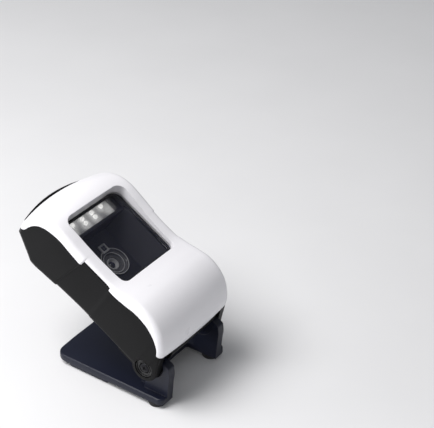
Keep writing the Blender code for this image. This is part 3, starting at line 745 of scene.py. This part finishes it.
def half_width(t):
    """Half the head's width at parameter t, less where the grip is."""
    first, full, leave, last = WAIST
    share = ease((t - first) / (full - first)) - ease((t - leave) / (last - leave))
    return HALF_WIDTH - WAIST_DEPTH * share


def row(edge, middle, normal, radius, half, corner, across):
    """One row of a cross-section, from -x to +x, with a round corner at each end."""
    right = []
    for k in range(corner + 1):
        angle = math.pi / 2 * (1 - k / corner)
        right.append((half - radius * (1 - math.sin(angle)), radius * (1 - math.cos(angle))))
    right += [((half - radius) * (1 - k / across), 0.0) for k in range(1, across)]
    line = [(-x, depth) for x, depth in right] + [(0.0, 0.0)] + right[::-1]
    result = []
    for x, depth in line:
        point = edge + (middle - edge) * (1 - (x / half) ** 2) + normal * depth
        result.append((x, point.x, point.y))
    return result


def cross_section(t, front_in=0.0, rear_in=0.0, side_in=0.0, corner=8, across=14):
    """Ring of points of the head at parameter t, moved in from its front, rear and sides."""
    half = half_width(t) - side_in
    share = max(0.0, (t - TOP_START) / (len(FRONT) - 1 - TOP_START))
    share = share * (2 - share)
    front_normal = inward(FRONT, t, 1)
    rear_normal = inward(REAR, t, -1)
    front_edge = on_curve(FRONT, t) + front_normal * front_in
    rear_edge = on_curve(REAR, t) + rear_normal * rear_in
    front_middle = front_edge - front_normal * (CROWN + (TOP_CROWN - CROWN) * share)
    rear_middle = rear_edge + SLANT * (TOP_CROWN * share)
    front_radius = max(FRONT_RADIUS - side_in, 0.8)
    rear_radius = max(REAR_RADIUS - side_in, 0.8)
    front = row(front_edge, front_middle, front_normal, front_radius, half, corner, across)
    rear = row(rear_edge, rear_middle, rear_normal, rear_radius, half, corner, across)
    return front + rear[::-1]


def stations(last, step):
    """Parameters of cross-sections about one step apart, closer where the grip fades out."""
    result = []
    for i in range(last):
        length = (Vector(FRONT[i + 1]) - Vector(FRONT[i])).length
        count = 12 if i == int(WAIST[2]) else max(1, round(length / step))
        result += [i + k / count for k in range(count)]
    return result + [float(last)]


def head_form():
    return skin("form", [cross_section(t) for t in stations(len(FRONT) - 1, 1.5)], strips=True)


def head_cavity(front_in, rear_in):
    rings = [cross_section(t, front_in, rear_in, WALL, 3, 6) for t in stations(LAST_HOLLOW, 5.0)]
    rings[0] = [(x, u + (WALL if w < 0 else 0), w) for x, u, w in rings[0]]
    return skin("cavity", rings, strips=True)


def parting_region(shift, towards):
    """Everything in front of the parting line, or behind it where towards is -1."""
    line = [point for run in PARTING for point in smooth(run)]
    far = 90.0 * towards
    tail = (160.0, line[-1][1] - 1.12 * (160.0 - line[-1][0]))
    line = [(-30.0, line[0][1])] + line + [tail]
    line = [(u, w + shift) for u, w in line]
    return slab("region", line + [(160.0, far), (-30.0, far)], -60, 60, axis="X")


# ---- head: shells ----------------------------------------------------------------------------

def front_shell():
    hollow = less(head_cavity(WALL, 0.0), slab("rim", window_outline(WINDOW_RIM), RIM_BOTTOM, 60))
    cutters = (
        slab("opening", window_outline(0), 20, 60),
        key_slot(),
        block("stem_slot", (-2.6, 128, 7.4), (2.6, 140, 11.4)),
    )
    mesh = less(within(head_form(), parting_region(0.0, 1)), hollow)
    mesh = plus(mesh, slab("frame", window_outline(WINDOW_RIM - 0.1), RIM_BOTTOM, RIM_TOP))
    mesh = less(mesh, *cutters)
    piece("front_shell_moulding", mesh, HEAD, "head", "white_shell", ["front_shell"])


def knuckle_outline():
    """Circle about the tilt axis with a tangent up to the chin's corner."""
    chin = Vector(CHIN_CORNER)
    reach = math.degrees(math.acos(KNUCKLE_R / chin.length))
    start = math.degrees(math.atan2(chin.y, chin.x)) + reach
    return [tuple(chin)] + arc((0, 0), KNUCKLE_R, start, start + 240, 60)


def ear_slot_outline():
    return arc((0, 0), SWEEP_R, SWEEP_START, 306, 40) + arc((0, 0), SLOT_R, -54, SWEEP_START, 40)


def sweep_outline():
    inner = arc((0, 0), KNUCKLE_R - 0.2, 262, SWEEP_START, 40)
    return arc((0, 0), SWEEP_R, SWEEP_START, 262, 40) + inner


def hinge_cuts(side):
    """What the stand's arm, its screw and its nut need cut out of the body on one side."""
    def between(a, b):
        return sorted((side * a, side * b))

    return [
        slab("ear_slot", ear_slot_outline(), *between(BODY_WALL[1], KNUCKLE[0]), axis="X"),
        slab("sweep", sweep_outline(), *between(KNUCKLE[0] - 1, CHEEK_X), axis="X"),
        rod_x("pin_hole", PIN_R + GAP, *between(22, 46)),
        rod_x("cup", CUP_R, *between(CUP_X, CUP_X + 6)),
        rod_x("nut_room", NUT_ROOM_R, *between(*NUT_ROOM_X), steps=32),
    ]


def rear_body():
    mesh = less(within(head_form(), parting_region(-GAP, -1)), head_cavity(0.0, WALL))
    for side in (-1, 1):
        x0, x1 = sorted((side * BODY_WALL[0], side * HINGE_BLOCK_X))
        mesh = plus(mesh, slab("hinge_block", HINGE_BLOCK, x0, x1, axis="X"))
        edges = (0.0, 1.2) if side > 0 else (1.2, 0.0)
        x0, x1 = sorted((side * KNUCKLE[0], side * KNUCKLE[1]))
        mesh = plus(mesh, slab("knuckle", knuckle_outline(), x0, x1, edges[1], edges[0], axis="X"))
    for side in (-1, 1):
        mesh = less(mesh, *hinge_cuts(side))
    bay = [(8.3, -5.0)] + [(u + GAP, w + (GAP if w < 0 else 0)) for u, w in PANEL_INSIDE[1:]]
    bay += [(-2.6, 26), (-30, 26), (-30, -30), (8.3, -30)]
    mesh = less(
        mesh,
        slab("panel_bay", bay, -BODY_WALL[1] - 0.2, BODY_WALL[1] + 0.2, axis="X"),
        block("socket_hole", (-SOCKET_HALF - 0.4, 19.0, -20), (SOCKET_HALF + 0.4, 33.0, 0)),
    )
    for x, u, back in SCREW_PLACES:
        mesh = plus(mesh, at(rod("boss", 4.1, back + 1.0, back + 5.2), x, u))
        mesh = less(
            mesh,
            at(rod("hole", 1.6, -20, 4.0), x, u),
            at(rod("pocket", 3.2, -20, back + 3.0), x, u),
        )
    piece("rear_body_moulding", mesh, HEAD, "head", "black_shell", ["rear_body"])


def bottom_panel():
    outside = smooth(PANEL_OUTSIDE, 0.8)
    inside = smooth(PANEL_INSIDE, 0.8)
    half = BODY_WALL[1] - GAP
    mesh = slab("panel", outside + inside, -half, half, axis="X")
    piece("bottom_panel_moulding", mesh, HEAD, "head", "black_shell", ["bottom_panel"])


def key_outline(grow, back, taper):
    """Bar with a bowed outer edge, in (x, u), narrower by the taper at its back."""
    rise = KEY_MIDDLE - KEY_ENDS
    half = KEY_HALF + grow
    places = [half * (1 - i / 24) for i in range(49)]
    front = [(x, KEY_ENDS + grow + rise * (1 - (x / half) ** 2)) for x in places]
    return [(-half + taper, back), (half - taper, back)] + front


def key_slot():
    low, high = KEY_W
    outline = key_outline(KEY_ROOM, KEY_FLOOR, 0.0)
    return slab("slot", outline, low - KEY_SLOT_ROOM, high + KEY_SLOT_ROOM)


def scan_key():
    low, high = KEY_W
    mesh = slab("key", key_outline(0, KEY_BACK, 1.5), low, high, 0.9, 0.9)
    mesh = plus(mesh, block("stem", (-2.0, 134.3, 8.2), (2.0, KEY_BACK + 1, 10.8)))
    piece("scan_key_moulding", mesh, HEAD, "key", "black_shell", ["scan_key"])


# ---- head: window, light and camera ----------------------------------------------------------

def glass_place():
    """The sunk glass's own frame: on its face, tipped so that its upper end lies deeper."""
    drop = math.atan2(GLASS_LOW[1] - GLASS_HIGH[1], GLASS_HIGH[0] - GLASS_LOW[0])
    low = Vector((0, GLASS_LOW[0], GLASS_LOW[1])) * MM
    back = Matrix.Translation((0, -GLASS_LOW[0] * MM, 0))
    return HEAD @ Matrix.Translation(low) @ Matrix.Rotation(-drop, 4, "X") @ back


def window():
    pane = slab("pane", window_outline(-0.35), -GLASS_THICK, 0, 0.25, 0.1, steps=3)
    piece("window_pane", pane, glass_place(), "head", "window_glass", ["window_glass"])
    low = -GLASS_THICK - GAP
    seal = slab("seal", window_outline(-0.45), low - 1.2, low, 0.3, 0.3, steps=3)
    seal = less(seal, slab("inside", window_outline(-2.4), low - 5, low + 5))
    piece("window_seal", seal, glass_place(), "head", "rubber", ["window_gasket"])


def funnel(grow, low, high):
    """The hood's tapering box: narrow at its floor, nearly as wide as the window at its mouth."""
    rings = []
    for w in (low, high):
        t = (w - HOOD_FLOOR) / (HOOD_MOUTH - HOOD_FLOOR)
        half, near, far = (a + (b - a) * t for a, b in zip(HOOD_NARROW, HOOD_WIDE))
        outline = rectangle(-half - grow, near - grow, half + grow, far + grow, 1.2, 4)
        rings.append([(x, u, w) for x, u in outline])
    return skin("funnel", rings)


def light_hood():
    mesh = funnel(HOOD_WALL, HOOD_FLOOR - HOOD_WALL, 27.2)
    mesh = plus(mesh, slab("shelf", rectangle(-31.5, 100.0, 31.5, 121.0, 1.0), 22.4, 23.9, 0.3))
    mesh = less(
        mesh,
        funnel(0.0, HOOD_FLOOR, 30.0),
        slab("tray_hole", rectangle(*TRAY_HOLE, 1.0), 15.0, 30.0),
        at(rod("camera_hole", CAMERA_HOLE_R, 6.0, 14.0, 72), 0, LENS_U),
    )
    piece("light_hood_moulding", mesh, HEAD, "head", "hood_black", ["light_hood"])


def light_tray():
    board = slab("board", rectangle(-26.0, 104.2, 26.0, 119.0, 1.0), 20.2, TRAY_W, 0.2)
    # The board carries the tray's painted glow: emission stands in for the LEDs' light on it.
    piece("led_board_painted_glow", board, HEAD, "head", "circuit_board", ["led_board"], PAINTED_GLOW_TRAY)
    cover = slab("cover", rectangle(-24.3, 105.3, 24.3, 118.0, 1.2), 24.2, 26.8, 0.5, 0.2)
    cover = less(cover, slab("inside", rectangle(-22.6, 106.4, 22.6, 116.9, 0.8), 20.0, 25.6))
    piece("led_cover", cover, HEAD, "head", "diffuser", ["led_diffuser"])
    ledge = slab("ledge", rectangle(-26.0, 102.4, 26.0, 104.9, 0.5), 23.88, 24.1, 0.08)
    piece("tray_ledge", ledge, HEAD, "head", "hood_black", material=BEZEL)
    dome = (
        (0, 24.0), (0.5, 23.95), (1.0, 23.75), (1.4, 23.35), (1.65, 22.7), (1.7, 21.7), (0, 21.7),
    )
    places = [(x, u) for u, row_places in LED_ROWS for x in row_places]
    for number, (x, u) in enumerate(places, 1):
        emitter = at(spun("emitter", dome, 32), x, u)
        piece(f"led_emitter_{number}", emitter, HEAD, "head", "led", [f"led_{number}"])


def camera():
    holder = (
        (11.7, 10.0), (12.0, 9.7), (12.0, 6.0), (8.6, 6.0), (8.6, 3.4), (5.5, 3.4), (5.5, 6.4),
        (7.9, 6.4), (8.2, 6.7), (8.2, 7.7), (8.5, 8.0), (10.7, 8.0), (11.0, 8.3), (11.0, 9.8),
        (11.2, 10.0),
    )
    ring = less(spun("holder", holder, 96), block("notch", *BEZEL_NOTCH))
    piece("camera_bezel", at(ring, 0, LENS_U), HEAD, "head", "hood_black", ["camera_holder"], BEZEL)
    # Two thin pale rings on the bezel's rim tops are painted highlights, standing in for light
    # caught on the ring edges.
    for name, inner, outer, low in (("outer", 11.2, 11.75, 9.98), ("inner", 8.45, 8.95, 7.98)):
        profile = ((inner, low), (inner, low + HIGHLIGHT_RING_RISE), (outer, low + HIGHLIGHT_RING_RISE), (outer, low))
        line = at(less(spun("line", profile, 96), block("notch", *BEZEL_NOTCH)), 0, LENS_U)
        piece(f"bezel_painted_highlight_{name}", line, HEAD, "head", "hood_black", material=LENS_RING_AND_HIGHLIGHT)
    barrel = (
        (4.9, 6.2), (5.1, 6.0), (5.1, 5.2), (4.9, 5.05), (5.1, 4.9), (5.1, 4.1), (4.9, 3.95),
        (5.1, 3.8), (5.1, 3.4), (2.9, 3.4), (2.9, 4.3), (3.5, 4.8), (3.5, 5.1), (4.1, 5.6),
        (4.1, 6.2),
    )
    mount = at(spun("barrel", barrel, 72), 0, LENS_U)
    piece("lens_mount", mount, HEAD, "head", "hood_black", ["lens_barrel"], LENS_RING_AND_HIGHLIGHT)
    dome = (
        (0, 5.6), (0.8, 5.55), (1.5, 5.35), (2.1, 5.0), (2.5, 4.5), (2.6, 4.0), (2.6, 3.5),
        (0, 3.5),
    )
    lens = at(spun("lens", dome, 56), 0, LENS_U)
    piece("lens_element", lens, HEAD, "head", "lens", ["lens_glass"])
    aimer = slab("aimer", rectangle(-3.5, 85.5, 3.5, 92.5, 0.6, 4), 9.3, 10.9, 0.3)
    aimer = less(aimer, slab("inside", rectangle(-2.4, 86.6, 2.4, 91.4, 0.3, 3), 9.7, 20.0))
    piece("aimer_frame", aimer, HEAD, "head", "hood_black", ["aimer_housing"], LENS_RING_AND_HIGHLIGHT)
    pane = slab("aimer_pane", rectangle(-2.0, 87.0, 2.0, 91.0, 0.3, 3), 10.0, 10.6, 0.15)
    piece("aimer_window", pane, HEAD, "head", "lens", ["aimer_lens"])


# ---- head: socket, screws and hinge ----------------------------------------------------------

def cable_socket():
    outline = rectangle(-SOCKET_HALF, 19.4, SOCKET_HALF, 32.6, 0.6, 3)
    mesh = slab("socket", outline, -6.8, 6.4, 0.3, 0.3)
    mesh = less(
        mesh,
        slab("mouth", rectangle(-6.0, 21.1, 6.0, 30.9, 0.3, 3), -20, 4.6),
        block("latch", (-2.0, 30.0, -20), (2.0, 31.9, 3.0)),
    )
    piece("socket_housing", mesh, HEAD, "head", "black_shell", ["cable_socket"])
    bent = [(22.2, 4.2), (22.2, -1.0), (22.6, -1.0), (24.6, 4.0), (24.2, 4.2)]
    for i in range(CONTACTS):
        x = CONTACT_PITCH * (i - (CONTACTS - 1) / 2)
        wire = slab("contact", bent, x - 0.2, x + 0.2, axis="X")
        piece(f"socket_contact_{i + 1}", wire, HEAD, "head", "steel", material=CONTACT)


def cross_recess(depth, span, top, low_side=False):
    """Two crossed blades that cut a drive recess into a screw's head, from above or below."""
    arm = RECESS_SHARE * span
    low, high = (top, top + depth) if low_side else (top - depth, top)
    stretch = (low - 1.0, high) if low_side else (low, high + 1.0)
    return [
        block("blade", (-span / 2, -arm / 2, stretch[0]), (span / 2, arm / 2, stretch[1])),
        block("blade", (-arm / 2, -span / 2, stretch[0]), (arm / 2, span / 2, stretch[1])),
    ]


def case_screws():
    for i, (x, u, back) in enumerate(SCREW_PLACES):
        low = back + 0.9
        top = low + 1.8
        profile = (
            (0, 14.0), (0.6, 13.9), (1.1, 13.0), (1.1, top), (2.8, top), (2.8, low + 0.7),
            (2.6, low + 0.2), (2.0, low), (0, low),
        )
        mesh = at(less(spun("screw", profile, 40), *cross_recess(1.1, 2.6, low, True)), x, u)
        nodes = [f"case_screw_{i + 1}"]
        piece(f"case_screw_head_{i + 1}", mesh, HEAD, "head", "dark_steel", nodes)


def hinge():
    seat = CUP_X + GAP
    for name, side in (("L", -1), ("R", 1)):
        screw = (
            (0, 42.7), (3.4, 42.7), (3.8, 42.5), (4.0, 42.1), (4.0, seat), (PIN_R, seat),
            (PIN_R, 26.5), (1.4, 26.5), (1.4, 22.0), (0, 22.0),
        )
        mesh = less(spun("pin", screw, 64), *cross_recess(1.3, 3.6, 42.7))
        nodes = [f"hinge_screw_{name}"]
        piece(f"pivot_screw_{name}", along_x(mesh, side), HEAD, "head", "dark_steel", nodes)
        ring = (
            (7.1, 42.9), (7.4, 42.6), (7.4, seat), (4.4, seat), (4.4, 42.4), (4.7, 42.7),
            (5.2, 42.7), (5.4, 42.0), (6.5, 42.0), (6.7, 42.9),
        )
        mesh = along_x(spun("ring", ring, 96), side)
        nodes = [f"hinge_ring_{name}"]
        piece(f"pivot_ring_{name}", mesh, HEAD, "head", "black_shell", nodes, PIVOT)
        bush = ((BUSH_R, EAR[1]), (BUSH_R, EAR[0]), (2.75, EAR[0]), (2.75, EAR[1]))
        mesh = along_x(spun("bush", bush, 48), side)
        piece(f"pivot_bush_{name}", mesh, AT_PIVOT, "stand", "nylon", [f"hinge_bush_{name}"])


# ---- stand -----------------------------------------------------------------------------------

def plate_outline():
    """The plate seen from above, with the U-gap between its arms. The last two corners only aim the
    arc at the rear edge, and are dropped."""
    right = [(0, GAP_BACK)] + rounded((
        (EAR[0], GAP_BACK, 2.0), (EAR[0], PLATE_FRONT, 0), (PLATE_HALF, PLATE_FRONT, 5.0),
        (PLATE_HALF, PLATE_BACK - 1.0, 9.0), (PLATE_HALF * 0.45, PLATE_BACK, 60.0),
        (-PLATE_HALF, PLATE_BACK, 0), (-PLATE_HALF, GAP_BACK, 0),
    ), 10)[:-2]
    return mirrored(right)


def recess_outline():
    """Underside hollow: inside the skirt, and closed along the U-gap."""
    half = PLATE_HALF - SKIRT
    back = PLATE_BACK - SKIRT
    inner = EAR[0] + 2.8
    front = PLATE_FRONT + SKIRT
    gap = GAP_BACK + SKIRT
    right = [(0, gap)] + rounded((
        (inner, gap, 0.5), (inner, front, 0.5), (half, front, 3.0), (half, back - 2.0, 7.0),
        (0, back, 0), (-half, gap, 0),
    ), 6)[:-1]
    return mirrored(right)


def arm_front(back=0.0):
    """Front outline of the arms (y, z), from the plate up to the tip of the cradle."""
    y = PIVOT_Y + back
    z = PIVOT_Z - back
    return [
        (y - 15.5, PLATE_LOW + 1.5), (y - 16.8, z - 14.0), (y - 17.7, z - 1.8), (y - 16.9, z + 1.9),
        (y - 14.3, z + 3.8),
    ]


def cradle_outline():
    """Wall in front of and under a knuckle, hollowed round the tilt axis."""
    hollow = arc((PIVOT_Y, PIVOT_Z), CRADLE_R, 155, 285, 48)
    return smooth(arm_front(), 0.8) + hollow + [(PIVOT_Y + 6.2, PLATE_LOW + 2.0)]


def ear_outline():
    """Plate that carries the tilt axis, rounded over it."""
    top = arc((PIVOT_Y, PIVOT_Z), KNUCKLE_R, 140, -55, 60)
    y = PIVOT_Y + 12.0
    return smooth(arm_front(0.3), 0.8) + top + [(y, PLATE_LOW + 4.6), (y, PLATE_LOW + 2.0)]


def stand():
    mesh = slab("plate", plate_outline(), PLATE_LOW, PLATE_TOP, 1.3, 0.4, steps=5)
    recess = slab("recess", recess_outline(), 0, PLATE_TOP - PLATE_THICK)
    posts = [at(rod("post", 3.0, -1, 12), x, y) for x, y in COVER_SCREWS]
    x, y, radius = FOOT
    posts += [at(rod("foot_post", radius, -1, 12, 64), side * x, y) for side in (-1, 1)]
    mesh = less(mesh, less(recess, *posts))
    for side in (-1, 1):
        x0, x1 = sorted((side * (EAR[0] + 0.2), side * EAR[1]))
        mesh = plus(mesh, slab("ear", ear_outline(), x0, x1, axis="X"))
        x0, x1 = sorted((side * (EAR[0] + 0.05), side * CRADLE_X))
        mesh = plus(mesh, slab("cradle", cradle_outline(), x0, x1, axis="X"))
        hole = rod_x("hole", BUSH_R + GAP, *sorted((side * 24, side * 36)))
        mesh = less(mesh, at(hole, 0, PIVOT_Y, PIVOT_Z))
    mesh = less(mesh, *[at(rod("pilot", 1.5, 0, 7.6), x, y) for x, y in COVER_SCREWS])
    piece("stand_moulding", mesh, STAND, "stand", "stand_plastic", ["stand"])


def base():
    outline = rounded((
        (-BLOCK_HALF, BLOCK_FRONT, 3.0), (BLOCK_HALF, BLOCK_FRONT, 3.0),
        (BLOCK_HALF, BLOCK_BACK, 6.0), (-BLOCK_HALF, BLOCK_BACK, 6.0),
    ))
    cover = slab("cover", outline, BLOCK_LOW, PLATE_LOW - GAP, 0.0, 0.6)
    for x, y in COVER_SCREWS:
        cover = less(cover, at(rod("hole", 1.6, -2, 8), x, y), at(rod("sink", 2.9, -2, 2.0), x, y))
    for side in (-1, 1):
        x0, x1 = sorted((side * PAD[0], side * PAD[2]))
        pocket = rectangle(x0 - GAP, PAD[1] - GAP, x1 + GAP, PAD[3] + GAP, 3.0)
        cover = less(cover, slab("pocket", pocket, -2, 1.6))
    piece("base_cover_moulding", cover, STAND, "stand", "stand_plastic", ["base_cover"])
    for i, (x, y) in enumerate(COVER_SCREWS):
        profile = (
            (0, 6.8), (0.6, 6.7), (1.1, 6.0), (1.1, 2.1), (2.5, 1.7), (2.5, 1.2), (2.3, 0.8),
            (0, 0.8),
        )
        mesh = at(less(spun("screw", profile, 40), *cross_recess(0.8, 2.4, 0.8, True)), x, y)
        nodes = [f"cover_screw_{i + 1}"]
        piece(f"cover_screw_head_{i + 1}", mesh, STAND, "stand", "dark_steel", nodes)


def feet():
    foot = (
        (0, 3.3), (6.4, 3.3), (6.6, 3.1), (6.9, 2.8), (7.0, 2.5), (7.0, 1.0), (6.8, 0.5),
        (6.3, 0.1), (5.8, 0.0), (4.6, 0.0), (4.3, 0.3), (3.9, 0.3), (3.6, 0.0), (0, 0.0),
    )
    for name, side in (("L", -1), ("R", 1)):
        mesh = at(spun("foot", foot, 96), side * FOOT[0], FOOT[1])
        piece(f"foot_{name}", mesh, STAND, "stand", "rubber", [f"front_foot_{name}"])
        x0, x1 = sorted((side * PAD[0], side * PAD[2]))
        pad = slab("pad", rectangle(x0, PAD[1], x1, PAD[3], 3.0), 0.0, 1.3, 0.0, 0.25, steps=3)
        piece(f"pad_{name}", pad, STAND, "stand", "rubber", [f"rear_pad_{name}"])


def paint_frame_nodes():
    """Every CAD node gets its slot's material, the ones inside the head among them."""
    for part in frame["record"]["subparts"]:
        node = frame["nodes"][part["node"]]
        node.data.materials.clear()
        node.data.materials.append(SLOT_MATERIALS[part["material_slot"]])


# ---- floor, light and camera -----------------------------------------------------------------

def studio():
    bm = bmesh.new()
    bmesh.ops.create_grid(bm, x_segments=8, y_segments=8, size=3000.0)
    floor = bpy.data.objects.new("floor", finished(bm, "floor"))
    bpy.context.scene.collection.objects.link(floor)
    graph = Graph("floor_pale")
    cloud = graph.noise(9.0, 3.0)
    shade = ((0.3, (0.79, 0.79, 0.80)), (0.7, (0.81, 0.81, 0.82)))
    graph.principled(Base_Color=graph.ramp(cloud, shade), Roughness=0.7)
    floor.data.materials.append(graph.material)
    world = bpy.data.worlds.new("studio")
    world.use_nodes = True
    sky = world.node_tree.nodes["Background"]
    sky.inputs["Color"].default_value = (0.95, 0.97, 1.0, 1)
    sky.inputs["Strength"].default_value = 0.27
    bpy.context.scene.world = world


def lamp(name, place, target, size, power, colour=(1.0, 1.0, 1.0)):
    """A soft square light aimed at a point, in metres and watts."""
    light = bpy.data.lights.new(name, "AREA")
    light.size = size
    light.energy = power
    light.color = colour
    holder = bpy.data.objects.new(name, light)
    bpy.context.scene.collection.objects.link(holder)
    holder.location = place
    holder.rotation_euler = (Vector(target) - Vector(place)).to_track_quat("-Z", "Y").to_euler()


def lights():
    middle = (0.0, 0.0, 0.06)
    lamp("key", (-0.45, 0.40, 1.15), middle, 0.8, 17.5, (1.0, 0.99, 0.985))
    lamp("side", (-0.8, 0.25, 0.18), middle, 0.35, 1.6, (0.99, 0.99, 1.0))
    lamp("rim", (-0.9, 1.1, 0.35), middle, 0.6, 4.0, (0.97, 0.98, 1.0))
    lamp("front", (-0.9, -0.9, 0.9), middle, 0.8, 1.0, (1.0, 0.98, 0.98))


def view_camera():
    """The photograph's camera, aimed by azimuth, elevation and roll."""
    azimuth, elevation, roll = (math.radians(a) for a in CAMERA_ANGLES)
    ahead = Vector((
        -math.sin(azimuth) * math.cos(elevation),
        math.cos(azimuth) * math.cos(elevation),
        -math.sin(elevation),
    ))
    level = Vector((math.cos(azimuth), math.sin(azimuth), 0))
    up = level.cross(ahead)
    right = level * math.cos(roll) + up * math.sin(roll)
    top = up * math.cos(roll) - level * math.sin(roll)
    data = bpy.data.cameras.new("photo_view")
    data.lens = CAMERA_LENS
    data.sensor_width = CAMERA_SENSOR
    data.clip_start = 0.01
    view = bpy.data.objects.new("photo_view", data)
    bpy.context.scene.collection.objects.link(view)
    turn = Matrix((right, top, -ahead)).transposed().to_4x4()
    view.matrix_world = Matrix.Translation(CAMERA_PLACE) @ turn
    bpy.context.scene.camera = view


bpy.context.scene.view_settings.view_transform = "Standard"
studio()
lights()
view_camera()
paint_frame_nodes()
front_shell()
rear_body()
bottom_panel()
scan_key()
window()
light_hood()
light_tray()
camera()
cable_socket()
case_screws()
hinge()
stand()
base()
feet()
bpy.context.view_layer.update()
